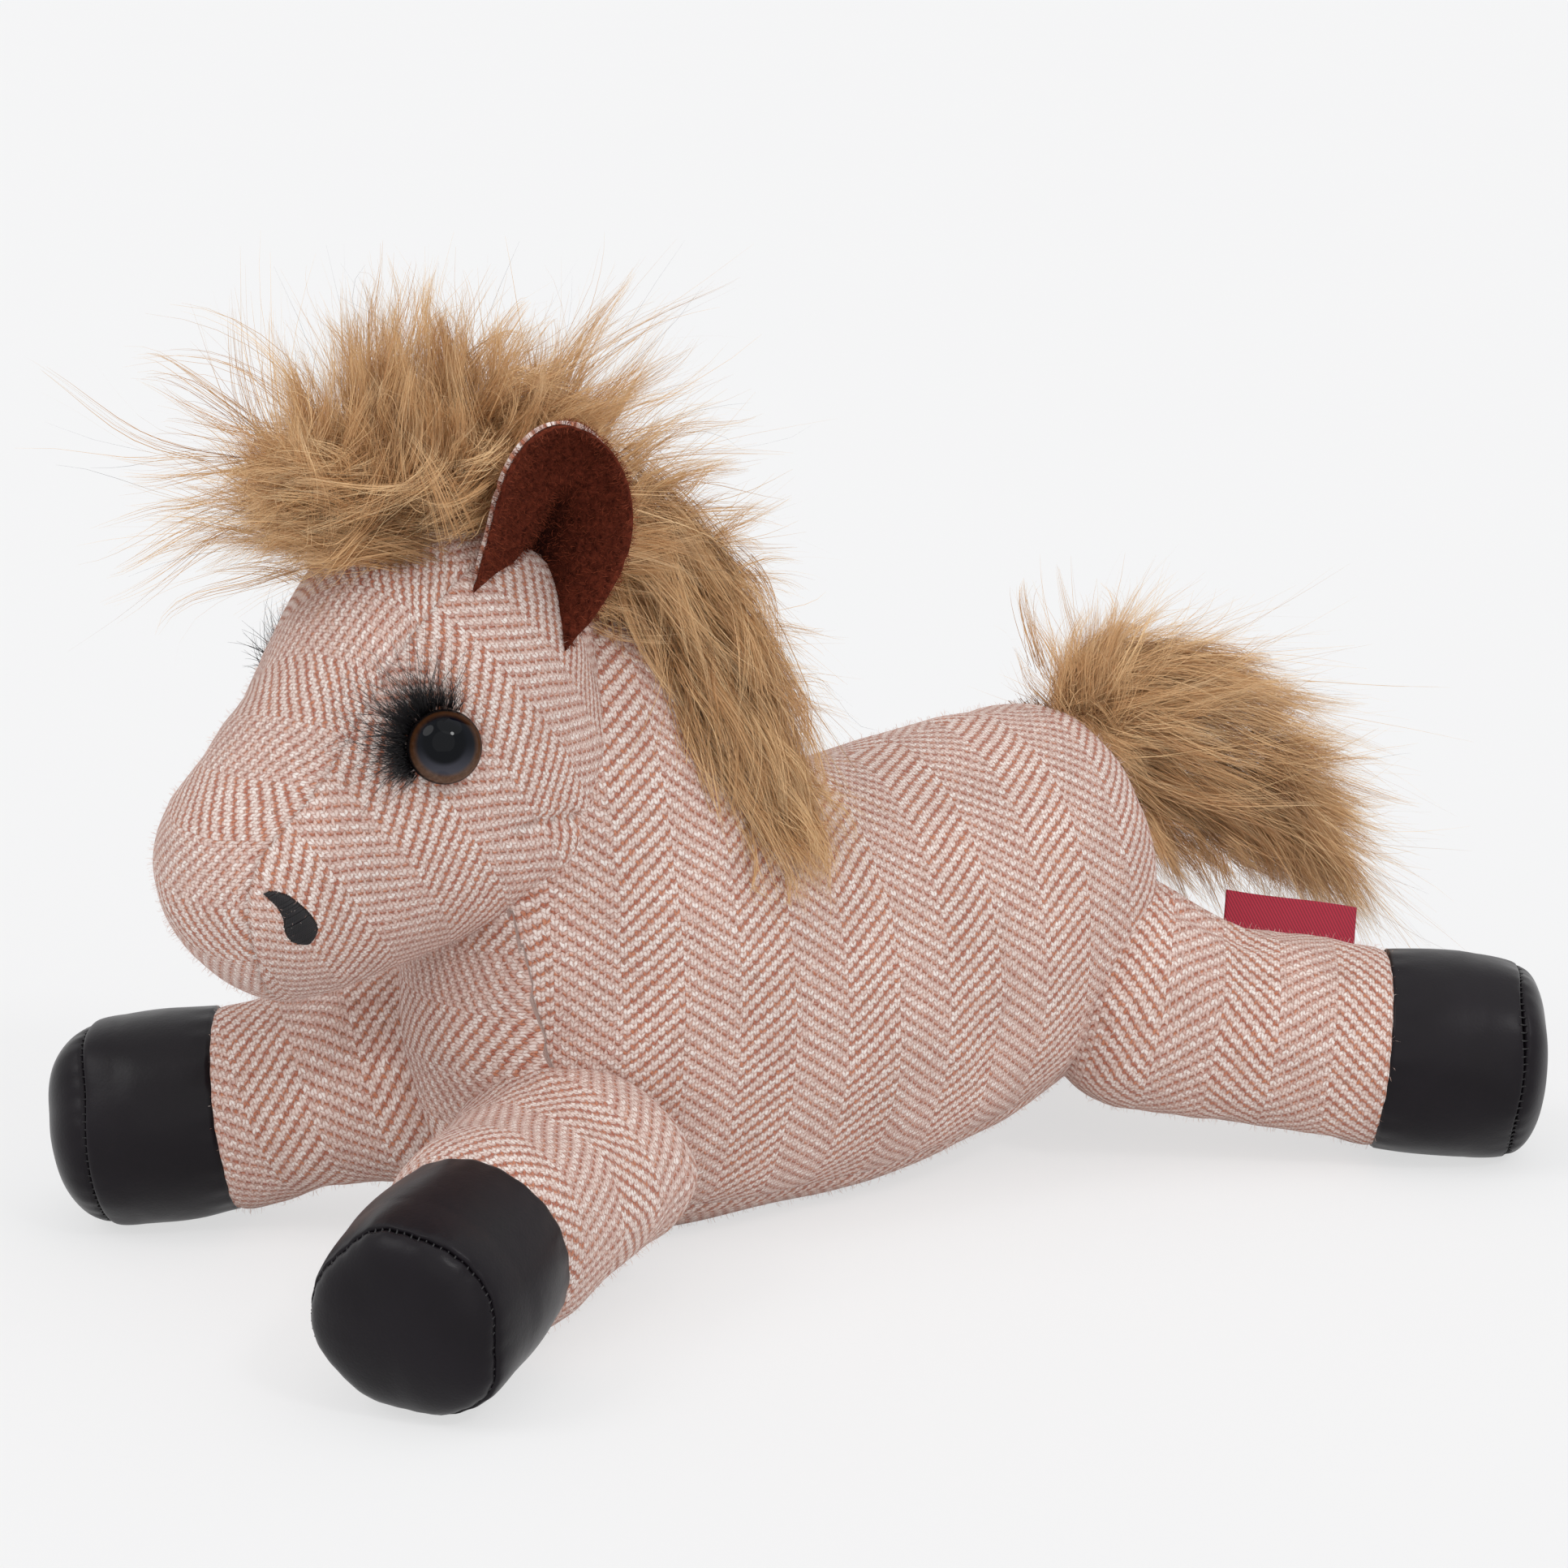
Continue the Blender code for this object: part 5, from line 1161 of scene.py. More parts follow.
def brushed_fuzz(name, skin, count, length, width, material):
    """Short fibres that stand up from a cloth's faces."""
    faces = skin.data.polygons
    middles, normals, areas = np.zeros(len(faces) * 3), np.zeros(len(faces) * 3), np.zeros(len(faces))
    faces.foreach_get("center", middles)
    faces.foreach_get("normal", normals)
    faces.foreach_get("area", areas)
    chosen = chance.choice(len(areas), count, p=areas / areas.sum())
    normal = normals.reshape(-1, 3)[chosen]
    root = middles.reshape(-1, 3)[chosen] - normal * 0.05 * MM
    shift = chance.normal(0, 0.5 * MM, (count, 3))
    root += shift - normal * (shift * normal).sum(axis=1, keepdims=True)
    tip = root + unit(normal + chance.normal(0, 0.6, (count, 3))) * chance.uniform(0.5, 1.0, (count, 1)) * length
    middle = (root + tip) / 2 + normal * 0.2 * length
    paths = np.stack([root, middle, tip], 1)
    paths[..., 2] = np.maximum(paths[..., 2], CLOTH_CLEARANCE)
    runs = np.broadcast_to(np.linspace(0, 1, 3), (count, 3))
    return hair_strands(name, paths, runs, np.full(count, width), chance.random(count), material)


def unit(vectors):
    """The vectors at length 1."""
    return vectors / np.maximum(np.linalg.norm(vectors, axis=-1, keepdims=True), 1e-12)


def keep_in_box(paths):
    """Shortens strands that would pass the size allowance, each to its own length."""
    low = np.array(cad_box[0]) - HAIR_ROOM
    high = np.array(cad_box[1]) + HAIR_ROOM
    low[2] = HAIR_CLEARANCE
    root = np.clip(paths[:, :1], low + 1 * MM, high - 1 * MM)
    reach = paths - root
    slack = chance.uniform(0, 1, (len(paths), 1)) * np.array((6, 6, 9)) * MM
    ahead = np.maximum(high - slack - root[:, 0], 0.5 * MM) / np.maximum(reach.max(axis=1), 1e-6)
    behind = np.maximum(
        root[:, 0] - low - np.array((1, 1, 0)) * slack, 0.4 * MM
    ) / np.maximum(-reach.min(axis=1), 1e-6)
    return np.clip(root + reach * np.minimum(1, np.minimum(ahead, behind))[:, None], low, high)


def eye_frame():
    """The left eye's outward, sideways and upward directions."""
    out = EYE_OUT / np.linalg.norm(EYE_OUT)
    across = np.cross((0, 0, 1.0), out)
    across /= np.linalg.norm(across)
    return out, across, np.cross(out, across)


def make_eye(side, acrylic):
    """The eye's post, flange and dome, turned about its outward direction; eye_disc maps it as seen from in front."""
    out, across, upright = eye_frame()
    profile = [
        (-0.0040, 0.0020), (-0.0008, 0.0022), (-0.0004, EYE_RADIUS - 0.0002),
        (0.0002, EYE_RADIUS), (EYE_FLANGE * 0.8, EYE_RADIUS)
    ]
    profile += [
        (
            EYE_FLANGE + EYE_HEIGHT * math.sin(a), EYE_RADIUS * math.cos(a)
        ) for a in np.linspace(0.02, math.pi / 2 - 0.015, 40)
    ]
    turn = 2 * np.pi * np.arange(96) / 96
    ring = np.outer(np.cos(turn), across) + np.outer(np.sin(turn), upright)
    grid = np.array([EYE_SEAT + out * height + ring * radius for height, radius in profile])
    disc = np.array([np.column_stack([np.cos(turn), np.sin(turn)]) * radius / EYE_RADIUS for _, radius in profile])
    return skin_grid(f"{side}_eye_dome", to_side(grid, side), acrylic, [("eye_disc", closed_columns(disc))])


def make_lashes(side, fibre):
    """A brush of fine fibres round the eye's front and top: dense at its root, with long single fibres that cross."""
    out, across, upright = eye_frame()
    first, last, length_share = LASH_SPAN[side]
    curves = []
    for count, shortest, longest, waver in LASH_LAYERS:
        share = chance.beta(2.0, 1.5, count)
        angle = np.radians(first + (last - first) * share)
        spoke = np.outer(np.cos(angle), across) + np.outer(np.sin(angle), upright)
        length = (
            chance.uniform(shortest, longest, count)
            * (0.45 + 0.55 * np.sin(math.pi * share ** 1.2) ** 0.7) * length_share * MM
        )[:, None]
        swirl = np.outer(-np.sin(angle), across) + np.outer(np.cos(angle), upright)
        inner = EYE_SEAT + spoke * (
            EYE_RADIUS + chance.uniform(-0.3, 1.2, count)[:, None] * MM
        ) - out * chance.uniform(-1.0, 0.6, count)[:, None] * MM
        lift = chance.uniform(0.05, 0.70, count)[:, None]
        middle = inner + out * length * (0.12 + 0.45 * lift) + spoke * length * 0.35
        outer = inner + out * length * lift * 0.8 + spoke * length * (1.05 - 0.3 * lift)
        outer += swirl * length * chance.normal(-0.05, waver, count)[:, None] + upright * length * 0.12
        t = np.linspace(0, 1, 7)[None, :, None]
        paths = curve_between(inner[:, None], middle[:, None], outer[:, None], t)
        curves.append(paths + 0.25 * MM * t * np.sin(4 * t + chance.uniform(0, 2 * math.pi, (count, 1, 3))))
    return tubes(
        f"{side}_lash_fringe", to_side(np.concatenate(curves), side), LASH_RADIUS, fibre, corners=4, taper=True
    )


def make_nostril(side, thread, skin):
    """Satin stitch: threads laid side by side across the comma, over a low padding, on the head's skin."""
    mesh = skin.data
    tree = BVHTree.FromPolygons([v.co for v in mesh.vertices], [p.vertices for p in mesh.polygons])
    turned = -1 if side == "left" else 1
    line = np.array(NOSTRIL_OUTLINE + NOSTRIL_OUTLINE[:3])
    line = np.vstack([line[-4], line])
    outline = smooth_through(line, np.linspace(0, 1, 140)) * MM
    threads = []
    level = outline[:, 1] + SATIN_SLANT * outline[:, 0]
    for height in np.arange(level.min() + SATIN_PITCH * 0.6, level.max() - SATIN_PITCH * 0.4, SATIN_PITCH):
        crossings = []
        for a, b, la, lb in zip(outline, np.roll(outline, -1, 0), level, np.roll(level, -1)):
            if (la - height) * (lb - height) < 0:
                crossings.append(a + (b - a) * (height - la) / (lb - la))
        if len(crossings) < 2:
            continue
        crossings.sort(key=lambda p: p[0])
        a, b = crossings[0], crossings[-1]
        flat = a + (b - a) * np.linspace(-0.03, 1.03, 9)[:, None] + chance.normal(0, 0.05 * MM, 2)
        arch = SATIN_RISE * np.sqrt(np.clip(1 - np.linspace(-1.03, 1.03, 9) ** 2, 0, 1))
        path = []
        for (x, z), rise in zip(flat, arch):
            point, normal, _, _ = tree.ray_cast(Vector((x, turned * 0.08, z)), Vector((0, -turned, 0)))
            path.append(np.array(point) + np.array(normal) * (rise - 0.05 * MM))
        threads.append(np.array(path))
    return tubes(f"{side}_nostril_stitches", np.array(threads), SATIN_THREAD_RADIUS, thread, corners=6)


def ear_crease(across, height, softness):
    """How deep in the ear's fold a place lies: a wedge that opens toward the head, with a rolled front edge."""
    open_share = np.clip(1 - height / 0.70, 0, 1)
    front = 1 / (1 + np.exp(-(across - 0.06 + 0.42 * open_share) / (0.35 * softness)))
    back = 1 / (1 + np.exp((across - 0.04 - 0.46 * open_share) / softness))
    return front * back * np.clip(open_share * 3.2, 0, 1) ** 0.8


def ear_surface(depth, rows=64, columns=64):
    """Points of the cupped leaf at one depth, rows × columns, narrowing to its tip."""
    leaf = np.array(EAR_LEAF)
    heights = 1 - (1 - np.linspace(0, 1, rows)) ** 1.5
    widths = np.interp(heights, *smooth_leaf(leaf))
    across = np.linspace(-1, 1, columns)
    x = across[None] * widths[:, None] * (EAR_WIDTH / 2 - depth / 2) - EAR_SWEEP * heights[:, None] ** 1.5
    y = heights[:, None] * EAR_HEIGHT - np.where(heights[:, None] == 0, 0.004, 0) + 0 * across[None]
    z = depth - EAR_CUP * (1 - across[None] ** 2) * widths[:, None] - EAR_LEAN * heights[:, None] ** 2
    z = z - EAR_FOLD * ear_crease(across[None], heights[:, None], 0.16)
    x = x + EAR_SET_BACK
    points = EAR_ORIGIN + x[..., None] * EAR_BACKWARD + y[..., None] * EAR_UPWARD + z[..., None] * EAR_OUTWARD
    return points, np.stack([x + 20 * MM, y + 30 * MM], -1)


def smooth_leaf(leaf):
    """The leaf's outline with a round tip."""
    heights = np.linspace(0, 1, 80)
    base = np.interp(heights, leaf[:, 0], leaf[:, 1])
    tip = np.sqrt(np.clip(1 - ((heights - 0.52) / 0.48) ** 2, 0, 1))
    return heights, np.where(heights > 0.52, np.minimum(1.0, tip ** 0.9), base)


def make_ear_panel(name, side, low, high, material):
    """A panel with real thickness and a rolled edge between two depths of the cup."""
    low_points, flat = ear_surface(low)
    high_points, _ = ear_surface(high)
    if "knit" in name:
        # The back panel's rear edge stays hidden behind the felt
        behind = np.clip(np.linspace(-1, 1, low_points.shape[1]), 0, 1)[None, :, None] ** 2 * 1.2 * MM * EAR_BACKWARD
        low_points, high_points = low_points - behind, high_points - behind
    rows, columns = low_points.shape[:2]
    middle_points = (low_points + high_points) / 2
    count = rows * columns
    quads, rim, after = sheet_faces(rows, columns)
    rim_points = middle_points.reshape(-1, 3)[rim]
    centre = middle_points.reshape(-1, 3).mean(0)
    push = rim_points - centre
    push /= np.linalg.norm(push, axis=1, keepdims=True)
    rim_points = rim_points + push * (0.35 * MM if "felt" in name else -0.25 * MM)
    points = np.vstack([low_points.reshape(-1, 3), high_points.reshape(-1, 3), rim_points])
    ring = 2 * count + np.arange(len(rim))
    ring_after = np.roll(ring, -1)
    faces = np.vstack([
        quads[:, ::-1], quads + count,
        np.column_stack([rim, after, ring_after, ring]),
        np.column_stack([ring, ring_after, after + count, rim + count]),
    ])
    flat = flat.reshape(-1, 2)
    all_flat = np.vstack([flat, flat, flat[rim]])
    share = flat[:, 1] - 30 * MM
    across = np.tile(np.linspace(-1, 1, columns), rows)
    # These fold values tell the felt where to lay its painted shade, deep in the ear's fold
    fold = ear_crease(across, share / EAR_HEIGHT, 0.14)
    corner_map = all_flat[faces.ravel()]
    piece = make_mesh(
        f"{side}_{name}", to_side(points, side), faces, [("knit", corner_map), ("knit_gusset", corner_map)],
        [("seam", np.ones(len(points))), ("fold", np.concatenate([fold, fold, fold[rim]]))], material,
    )
    face_outward(piece)
    return piece


def make_forelock(fur):
    """Fur over the poll: combed forward over the forehead, standing up on top and falling back behind the ears."""
    form = placed(FORELOCK_SECTIONS, FORELOCK_POLES, FORELOCK_ROOT, FORELOCK_LENGTH, FORELOCK_HEIGHT, FORELOCK_WIDTH)
    grid = oval_grid(*form, 60, 80)[1:-1]
    middles = grid.mean(axis=1)

    def comb(count, out_share, lengths, thickness, strands):
        ring, spoke = chance.integers(0, len(grid), count), chance.integers(0, grid.shape[1], count)
        middle, hull = middles[ring], grid[ring, spoke]
        outward = unit(hull - middle)
        back = np.clip((hull[:, :1] - FORELOCK_ROOT[0]) / (26 * MM), 0, 1)
        top = np.clip((hull[:, 2:] - FORELOCK_ROOT[2] - 12 * MM) / (16 * MM), 0, 1) * (1 - back)
        flow = (
            back * (0.75, -0.15, -0.20) + top * (-0.20, 0.05, 0.95) + (1 - back - top) * (-0.88, 0.36, -0.10)
        )
        flow = unit(flow + 0.40 * outward + chance.normal(0, 0.22, (count, 3)))
        tips = middle + (hull - middle) * chance.uniform(*out_share, (count, 1))
        tips = tips + flow * chance.uniform(0, 5 * MM, (count, 1))
        length = chance.uniform(*lengths, (count, 1)) * MM
        roots = tips - flow * length
        roots = middle + (roots - middle) * 0.78
        bends = (roots + tips) / 2 + outward * length * 0.20 + chance.normal(0, 0.10, (count, 3)) * length
        return fur_locks(roots, bends, tips, uneven(thickness, count), strands)

    def tufts(count, root, root_spread, reach, reach_spread, thickness, strands):
        roots = np.array(root) * MM + chance.normal(0, 1, (count, 3)) * np.array(root_spread) * MM
        tips = roots + np.array(reach) * MM + chance.normal(0, 1, (count, 3)) * np.array(reach_spread) * MM
        length = np.linalg.norm(tips - roots, axis=1, keepdims=True)
        bends = (roots + tips) / 2 + chance.normal(0, 0.10, (count, 3)) * length + np.array((0, 0, 0.10)) * length
        return fur_locks(roots, bends, tips, np.full(count, thickness * MM), strands)

    groups = [
        comb(110, (0.35, 0.75), (14, 26), 6.0, 44),
        comb(240, (0.80, 1.08), (16, 34), 3.8, 50),
        comb(80, (1.0, 1.3), (20, 36), 1.8, 18),
        # In front of the far ear
        tufts(60, (-74, 9, 150), (7, 6, 3), (-2, 14, 38), (6, 5, 7), 4.5, 44),
        # Behind the near ear, toward the mane
        tufts(70, (-60, -8, 150), (5, 5, 4), (17, -13, 8), (8, 6, 12), 4.0, 44),
        # Long combed fringe over the forehead
        tufts(56, (-83, -10, 155.5), (5, 5, 2), (-27, 15, 3), (6, 5, 4), 3.2, 50),
        # Fluff above and behind the near ear
        tufts(60, (-62, -2, 160), (5, 4, 4), (16, -4, 22), (8, 6, 8), 3.6, 36),
        # Wisps: up, forward and back
        tufts(34, (-82, 0, 168), (9, 8, 5), (-2, 0, 34), (9, 6, 7), 2.0, 12),
        tufts(40, (-98, 8, 162), (6, 8, 6), (-30, 12, 6), (6, 6, 12), 2.2, 12),
        tufts(30, (-62, -8, 165), (5, 5, 6), (30, -16, 12), (8, 6, 14), 2.0, 12),
    ]
    return finish_fur("forelock_fur", groups, (520, 1.7), fur)


def make_mane(fur):
    """Fur along the neck: it leaves the poll behind the ears, falls over the near side and ends in a point."""
    spine = np.array(MANE_LINE) * MM
    padded_spine = np.vstack([2 * spine[0] - spine[1], spine, 2 * spine[-1] - spine[-2]])

    def comb(count, start, ahead, inside, outside, thickness, strands):
        begin = chance.uniform(*start, count)
        end = np.clip(begin + chance.uniform(*ahead, count), 0, 1 - 0.22 * chance.random(count) ** 1.6)
        here, next_to, there = (smooth_through(padded_spine, np.clip(at, 0, 1)) for at in (begin, begin + 0.05, end))
        run = unit(next_to[:, :3] - here[:, :3] + (0, 0, -1e-6))
        across = unit(np.cross(run, (0, 0, 1.0)))
        rise = np.cross(across, run)
        angle = chance.uniform(0, 2 * math.pi, count)[:, None]
        radial = np.cos(angle) * across + np.sin(angle) * rise
        roots = here[:, :3] + radial * here[:, 3:] * chance.uniform(*inside, (count, 1))
        turned = angle + chance.normal(0, 0.5, (count, 1))
        radial_end = np.cos(turned) * across + np.sin(turned) * rise
        fray = 1 + 0.5 * np.clip((end[:, None] - 0.7) / 0.3, 0, 1)
        tips = there[:, :3] + radial_end * there[:, 3:] * chance.uniform(*outside, (count, 1)) * fray
        length = np.linalg.norm(tips - roots, axis=1, keepdims=True)
        bends = (roots + tips) / 2 + radial * here[:, 3:] * 0.30 + chance.normal(0, 0.08, (count, 3)) * length
        return fur_locks(roots, bends, tips, uneven(thickness, count), strands)

    def wisps(count, length, thickness, strands):
        begin = chance.uniform(0, 0.75, count)
        here = smooth_through(padded_spine, begin)
        droop = begin[:, None] + chance.normal(0, 0.18, (count, 1))
        reach = unit(
            np.array((0.80, -0.56, 0.35)) - droop * np.array((0.25, 0, 1.5)) + chance.normal(0, 0.16, (count, 3))
        )
        roots = here[:, :3] + reach * here[:, 3:] * 0.35
        tips = roots + reach * chance.uniform(*length, (count, 1)) * MM
        bends = (roots + tips) / 2 + np.array((0, 0, 3)) * MM + chance.normal(0, 1.5 * MM, (count, 3))
        return fur_locks(roots, bends, tips, np.full(count, thickness * MM), strands)

    groups = [
        wisps(70, (14, 30), 2.6, 22),
        comb(110, (-0.02, 0.75), (0.20, 0.40), (0.1, 0.5), (0.3, 0.7), 6.5, 44),
        comb(230, (-0.02, 0.82), (0.22, 0.50), (0.45, 0.9), (0.75, 1.08), 3.8, 50),
        comb(70, (0.0, 0.9), (0.2, 0.5), (0.6, 0.9), (1.0, 1.55), 1.8, 18),
    ]
    return finish_fur("mane_fur", groups, (380, 1.7), fur)


def make_tail(fur):
    """A bushy tail: locks fan out of the root, some upright, and the end breaks up into points."""
    grid = oval_grid(*placed(TAIL_SECTIONS, TAIL_POLES, TAIL_ROOT, TAIL_LENGTH, TAIL_DEPTH, TAIL_WIDTH), 90, 80)[1:-1]
    middles = grid.mean(axis=1)
    last = len(grid) - 1

    def comb(count, inside, outside, behind, thickness, strands):
        ring = (chance.uniform(0.10, 0.71, count) ** 0.9 * last).astype(int)
        spoke = chance.integers(0, grid.shape[1], count)
        back = np.clip(ring - chance.integers(*behind, count), 0, last)
        between = (ring + back) // 2
        roots = middles[back] + (grid[back, spoke] - middles[back]) * chance.uniform(*inside, (count, 1))
        other = (spoke + chance.integers(-9, 10, count)) % grid.shape[1]
        tips = middles[ring] + (grid[ring, other] - middles[ring]) * chance.uniform(*outside, (count, 1))
        length = np.linalg.norm(tips - roots, axis=1, keepdims=True)
        ahead = unit(tips - roots)
        tips += ahead * length * chance.uniform(-0.15, 0.22, (count, 1))
        bends = middles[between] + (grid[between, spoke] - middles[between]) * chance.uniform(0.5, 1.05, (count, 1))
        return fur_locks(roots, bends, tips, uneven(thickness, count), strands)

    groups = [
        comb(100, (0.0, 0.4), (0.3, 0.75), (20, 50), 6.0, 44),
        comb(210, (0.2, 0.75), (0.75, 1.05), (20, 52), 3.4, 50),
        comb(80, (0.4, 0.8), (0.95, 1.35), (20, 46), 1.7, 18),
    ]
    # Upright tufts at the root, and points past the end
    count = 34
    roots = TAIL_ROOT + chance.normal(0, 1, (count, 3)) * np.array((3, 5, 3)) * MM + np.array((2, 0, 2)) * MM
    tips = roots + chance.normal(0, 1, (count, 3)) * np.array((8, 8, 3)) * MM + np.array((3, 0, 24)) * MM
    bends = (roots + tips) / 2 + chance.normal(0, 2 * MM, (count, 3))
    groups.append(fur_locks(roots, bends, tips, np.full(count, 2.6 * MM), 26))
    for count, thickness, strands, reach in ((26, 6.0, 110, (0.64, 0.90)), (60, 2.2, 24, (0.75, 1.15))):
        ends = grid[chance.integers(int(last * 0.66), last, count), chance.integers(0, grid.shape[1], count)]
        roots = middles[int(last * 0.50)] + (ends - middles[int(last * 0.50)]) * 0.25
        tips = roots + (ends - roots) * chance.uniform(*reach, (count, 1)) + chance.normal(0, 2 * MM, (count, 3))
        bends = (roots + tips) / 2 + chance.normal(0, 2.5 * MM, (count, 3))
        groups.append(fur_locks(roots, bends, tips, np.full(count, thickness * MM), strands))
    # Wisps that hang from the underside near the root
    count = 170
    ring = (chance.uniform(0.0, 1.0, count) ** 1.7 * 0.46 * last).astype(int)
    low = grid[ring, grid[ring][:, :, 2].argmin(axis=1)] + chance.normal(0, 1, (count, 3)) * np.array((2, 6, 1)) * MM
    tips = low + np.array((6, -2, -11)) * MM * chance.uniform(0.6, 1.5, (count, 1))
    tips = tips + chance.normal(0, 2 * MM, (count, 3))
    roots = low + np.array((-7, 0, 6)) * MM
    groups.append(fur_locks(roots, low, tips, np.full(count, 2.2 * MM), 22))
    # The lock that droops behind the tab
    count = 56
    start, near, far = (np.array(point) * MM for point in TAIL_DROOP)
    share = chance.uniform(0, 1, (count, 1)) ** 0.8
    roots = start + share * np.array((18, 0, -4)) * MM + chance.normal(0, 1, (count, 3)) * np.array((3, 4, 3)) * MM
    tips = near + (far - near) * share + chance.normal(0, 1, (count, 3)) * np.array((2, 4, 1.5)) * MM
    bends = roots * 0.45 + tips * 0.55 + np.array((2, 0, 4)) * MM
    groups.append(fur_locks(roots, bends, tips, np.full(count, 3.0 * MM), 46))
    return finish_fur("tail_fur", groups, (300, 1.5), fur)


def make_tab(twill):
    """A ribbon folded in two: two faces, a round fold on top and raw ends in the seam."""
    along = TAB_ALONG / np.linalg.norm(TAB_ALONG)
    side = np.cross(along, (0, 0, 1.0))
    side /= np.linalg.norm(side)
    level_up = np.cross(side, along)
    lean = math.radians(TAB_LEAN)
    up = level_up * math.cos(lean) - side * math.sin(lean)
    through = np.cross(along, up)
    gap = TAB_FOLD_RADIUS
    path = [(-gap, h) for h in np.linspace(-TAB_SUNK, TAB_HEIGHT - gap, 16)]
    path += [(-gap * math.cos(a), TAB_HEIGHT - gap + gap * math.sin(a)) for a in np.linspace(0.3, math.pi - 0.3, 7)]
    path += [(gap, h) for h in np.linspace(TAB_HEIGHT - gap, -TAB_SUNK, 16)]
    path = np.array(path)
    run = np.concatenate([[0], np.cumsum(np.linalg.norm(np.diff(path, axis=0), axis=1))])
    along_steps = np.linspace(-TAB_LENGTH / 2, TAB_LENGTH / 2, 60)
    direction = np.gradient(path, axis=0)
    direction /= np.linalg.norm(direction, axis=1, keepdims=True)
    square = np.column_stack([-direction[:, 1], direction[:, 0]])
    layers = []
    for offset in (0.0, TAB_WALL):
        line = path + square * offset
        bend = 0.5 * MM * np.sin(along_steps / TAB_LENGTH * 5.0)
        height_share = np.clip(line[:, 1] / TAB_HEIGHT, 0, 1)
        grid = (
            TAB_ORIGIN + along_steps[:, None, None] * along + line[None, :, 1:2] * up
            + (line[None, :, 0:1] + bend[:, None, None] * height_share[None, :, None] ** 2) * through
        )
        layers.append(grid)
    rows, columns = layers[0].shape[:2]
    count = rows * columns
    quads, rim, after = sheet_faces(rows, columns)
    faces = np.vstack([quads[:, ::-1], quads + count, np.column_stack([rim, after, after + count, rim + count])])
    flat = np.stack(np.broadcast_arrays(along_steps[:, None], run[None, :]), -1).reshape(-1, 2)
    corner_map = np.vstack([flat, flat])[faces.ravel()]
    piece = make_mesh(
        "woven_tab_ribbon", np.vstack([g.reshape(-1, 3) for g in layers]), faces, [("knit", corner_map)], (), twill
    )
    face_outward(piece)
    return piece


def background_rays(put):
    """1 for rays that meet the background itself: the camera's, and those by way of a mirror or glass."""
    straight = put("LightPath", out="Is Camera Ray")
    mirrored = put("LightPath", out="Is Glossy Ray")
    through = put("LightPath", out="Is Transmission Ray")
    either = put("Math", {0: straight, 1: mirrored}, operation="MAXIMUM")
    return put("Math", {0: either, 1: through}, operation="MAXIMUM")


def make_stage():
    """A pale seamless floor, lit evenly; the camera sees its shadows softened, as with paper lit from all sides."""
    material, put = new_material("matt_studio_paper")
    where = put("TexCoord", out="Object")
    cloud = put("TexNoise", {"Vector": where, "Scale": 3})
    tone = put("Mix", {0: cloud, 6: linear("#f3f3f4"), 7: linear("#f5f5f5")}, out=2, data_type="RGBA")
    shader = put("BsdfPrincipled", {"Base Color": tone, "Roughness": 0.9, "Specular IOR Level": 0.1})
    paper = put("Emission", {"Color": linear("#f5f5f5"), "Strength": 1.0})
    seen = put("Math", {0: background_rays(put), 1: FLOOR_GLOW_SHARE}, operation="MULTIPLY")
    shader = put("MixShader", {0: seen, 1: shader, 2: paper})
    put("OutputMaterial", {0: shader}, out=None)
    corners = np.array([(-1, -1, 0), (1, -1, 0), (1, 1, 0), (-1, 1, 0)], float) * FLOOR_REACH
    floor = make_mesh("studio_floor", corners, np.array([(0, 1, 2, 3)]), (), (), material)


def make_camera():
    """The camera where the photographer stood."""
    camera = bpy.data.objects.new("camera", bpy.data.cameras.new("camera"))
    camera.location = CAMERA_PLACE
    camera.rotation_euler = Euler(CAMERA_TURN)
    camera.data.lens = CAMERA_LENS
    camera.data.sensor_width = 36
    bpy.context.scene.collection.objects.link(camera)
    bpy.context.scene.camera = camera


def make_lamp(name, toward, spread, strength):
    """A broad soft source far away, so that the floor is lit evenly."""
    lamp = bpy.data.objects.new(name, bpy.data.lights.new(name, "SUN"))
    lamp.data.angle = math.radians(spread)
    lamp.data.energy = strength
    lamp.rotation_euler = Vector(toward).to_track_quat("-Z", "Y").to_euler()
    bpy.context.scene.collection.objects.link(lamp)


def make_light():
    """Four soft lamps and an even surround; the camera sees the surround as white paper."""
    make_lamp("overhead_softbox", (-0.15, 0.35, -1.0), 60, 0.44)
    make_lamp("camera_left_softbox", (0.638, -0.074, -0.731), 30, 0.58)
    make_lamp("front_softbox", (0.45, 0.85, -0.45), 60, 0.36)
    make_lamp("small_key_light", (-0.066, 0.729, -0.713), 9, 0.45)
    world = bpy.data.worlds.new("studio_surround")
    world.use_nodes = True
    world.node_tree.nodes.clear()
    put = functools.partial(add, world.node_tree)
    surround = put("Background", {"Color": linear("#f4f5f8"), "Strength": 0.66})
    paper = put("Background", {"Color": linear("#f5f5f5"), "Strength": 1.0})
    both = put("MixShader", {0: background_rays(put), 1: surround, 2: paper})
    put("OutputWorld", {0: both}, out=None)
    bpy.context.scene.world = world
    bpy.context.scene.view_settings.view_transform = "Standard"


def dress(piece, node, body):
    """Puts a piece in a node's place: hides the node and sets the piece on the node's body."""
    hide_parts(node)
    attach(piece, body)


make_camera()
make_stage()
make_light()

knit = herringbone_knit()
leather = satin_leather()
felt = brushed_felt()
fur = long_pile_fur()
fibre = lash_fibre()
thread = black_thread()
acrylic = painted_acrylic()
nylon = washer_nylon()
twill = crimson_twill()
wool_fuzz = loose_fibre("loose_wool_fibre", "#d3a08a", "#f6ebe4")
felt_nap = loose_fibre("felt_nap_fibre", "#4a190d", "#8f452c")

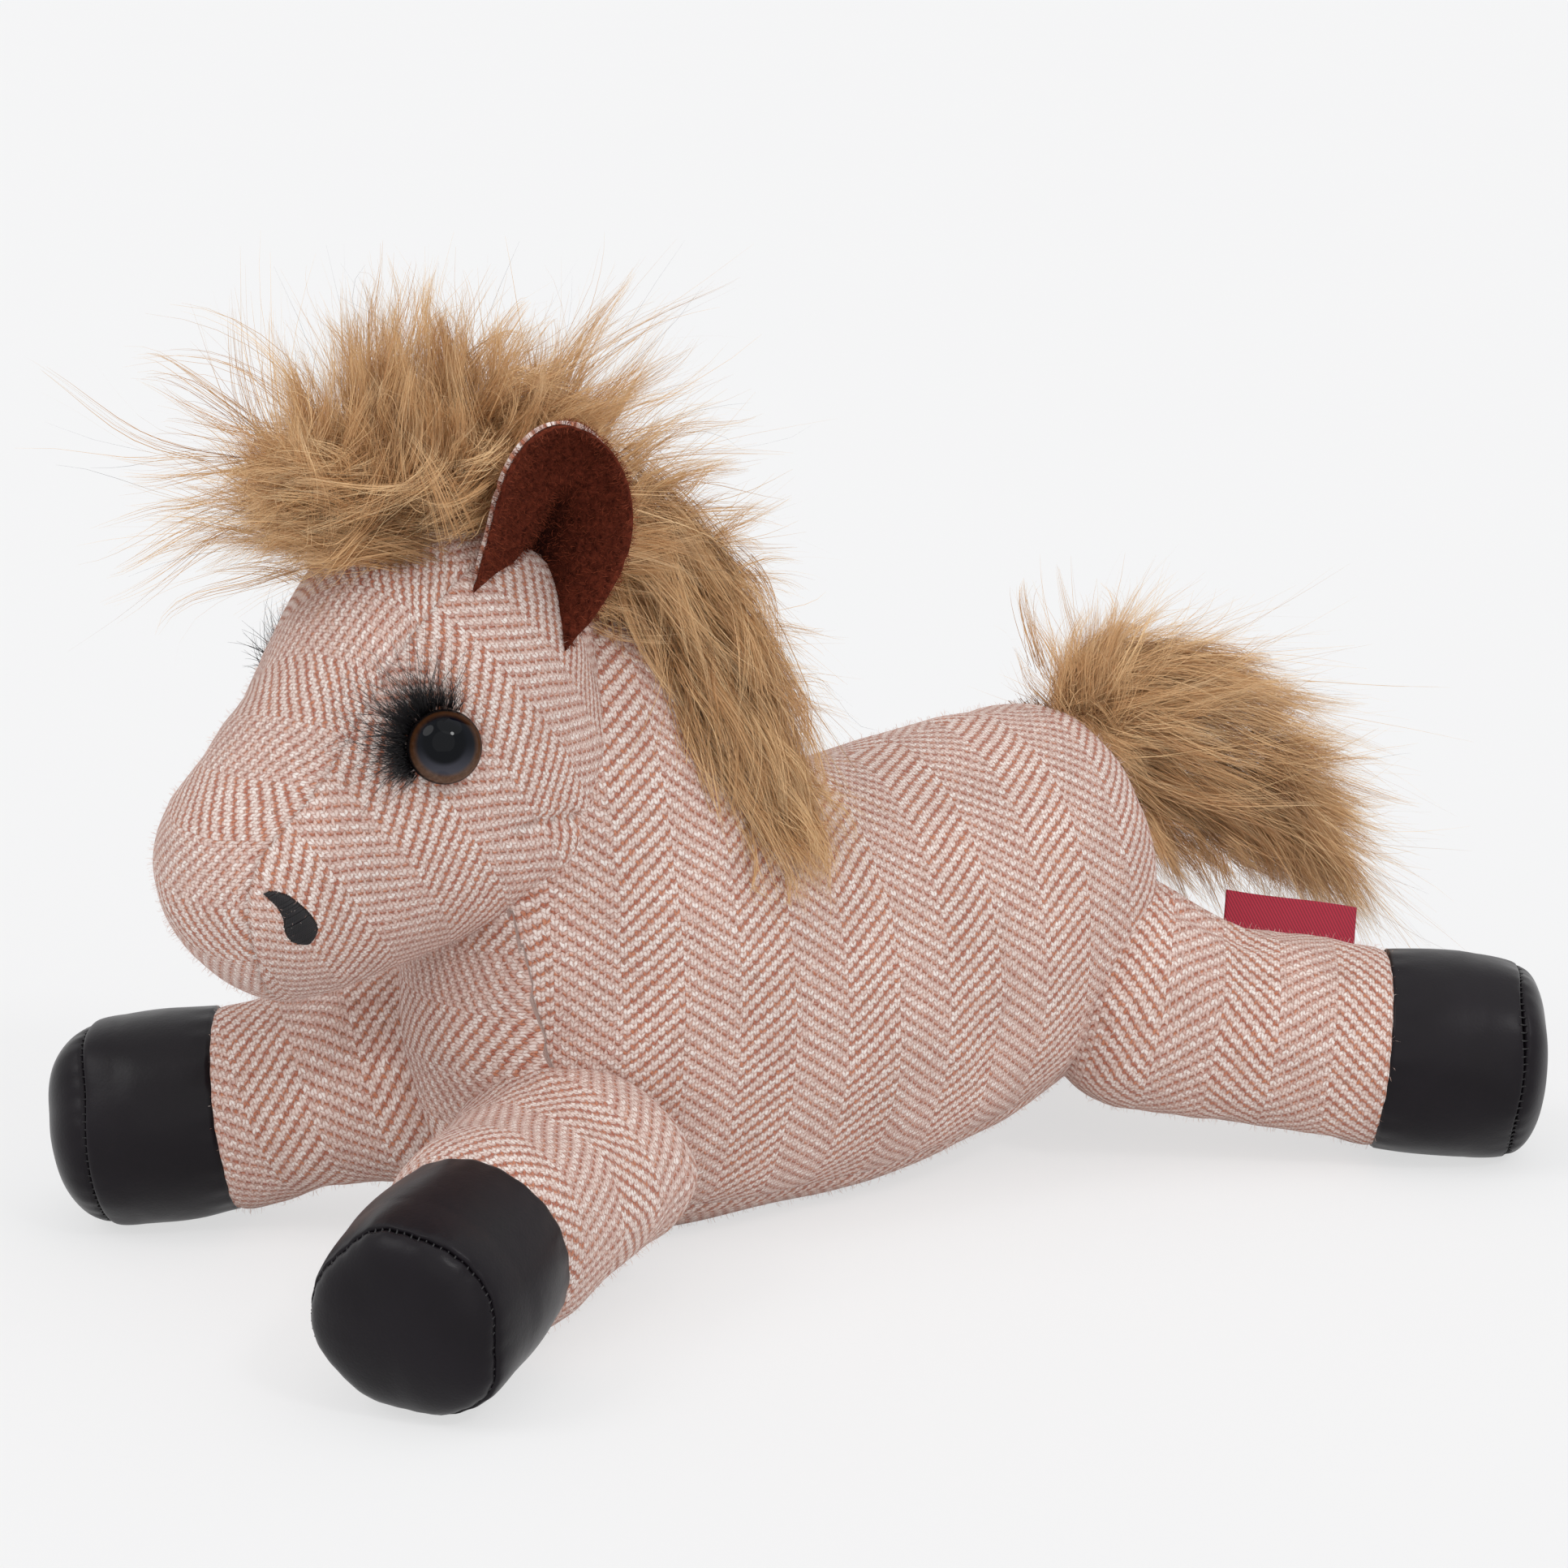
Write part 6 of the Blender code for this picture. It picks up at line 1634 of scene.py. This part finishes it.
torso = make_torso(knit)
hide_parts("torso")
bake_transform(torso)
fuzz = brushed_fuzz("torso_fuzz", torso, 12000, FUZZ_LENGTH, FUZZ_WIDTH, wool_fuzz)
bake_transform(fuzz)

head = make_head(knit)
dress(head, "head", "head")
fuzz = brushed_fuzz("head_fuzz", head, 8000, FUZZ_LENGTH, FUZZ_WIDTH, wool_fuzz)
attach(fuzz, "head")

for side in ("left", "right"):
    eye = make_eye(side, acrylic)
    dress(eye, f"{side}_eye", "head")
    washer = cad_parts[f"{side}_eye_washer"]
    for holder in washer.material_slots:
        holder.material = nylon
    lashes = make_lashes(side, fibre)
    dress(lashes, f"{side}_lashes", "head")
    nostril = make_nostril(side, thread, head)
    dress(nostril, f"{side}_nostril", "head")

    lining = make_ear_panel("ear_felt", side, 0.0, EAR_WALL, felt)
    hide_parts(f"{side}_ear_lining")
    back = make_ear_panel("ear_knit", side, -EAR_WALL - SEAT_GAP, -SEAT_GAP, knit)
    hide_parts(f"{side}_ear_back")
    nap = brushed_fuzz(f"{side}_ear_nap", lining, 11000, FUZZ_LENGTH, NAP_WIDTH, felt_nap)
    for panel in (lining, back, nap):
        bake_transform(panel)

    for number, name in enumerate(("foreleg", "hind_leg")):
        leg = make_leg(side, name, knit)
        dress(leg, f"{side}_{name}", f"{side}_{name}")
        fuzz = brushed_fuzz(f"{side}_{name}_fuzz", leg, 2600, FUZZ_LENGTH, FUZZ_WIDTH, wool_fuzz)
        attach(fuzz, f"{side}_{name}")
        seed = 1.3 + 2.1 * number + (0.7 if side == "right" else 0)
        band, sole, stitches = make_hoof(side, name, leather, thread, seed)
        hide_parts(f"{side}_{HOOFS[name]}_band")
        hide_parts(f"{side}_{HOOFS[name]}_sole")
        for piece in (band, sole, stitches):
            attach(piece, f"{side}_{name}")

forelock = make_forelock(fur)
dress(forelock, "forelock", "head")

mane = make_mane(fur)
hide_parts("mane")
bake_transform(mane)

tail = make_tail(fur)
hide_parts("tail")
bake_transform(tail)

tab = make_tab(twill)
dress(tab, "woven_tab", "woven_tab")
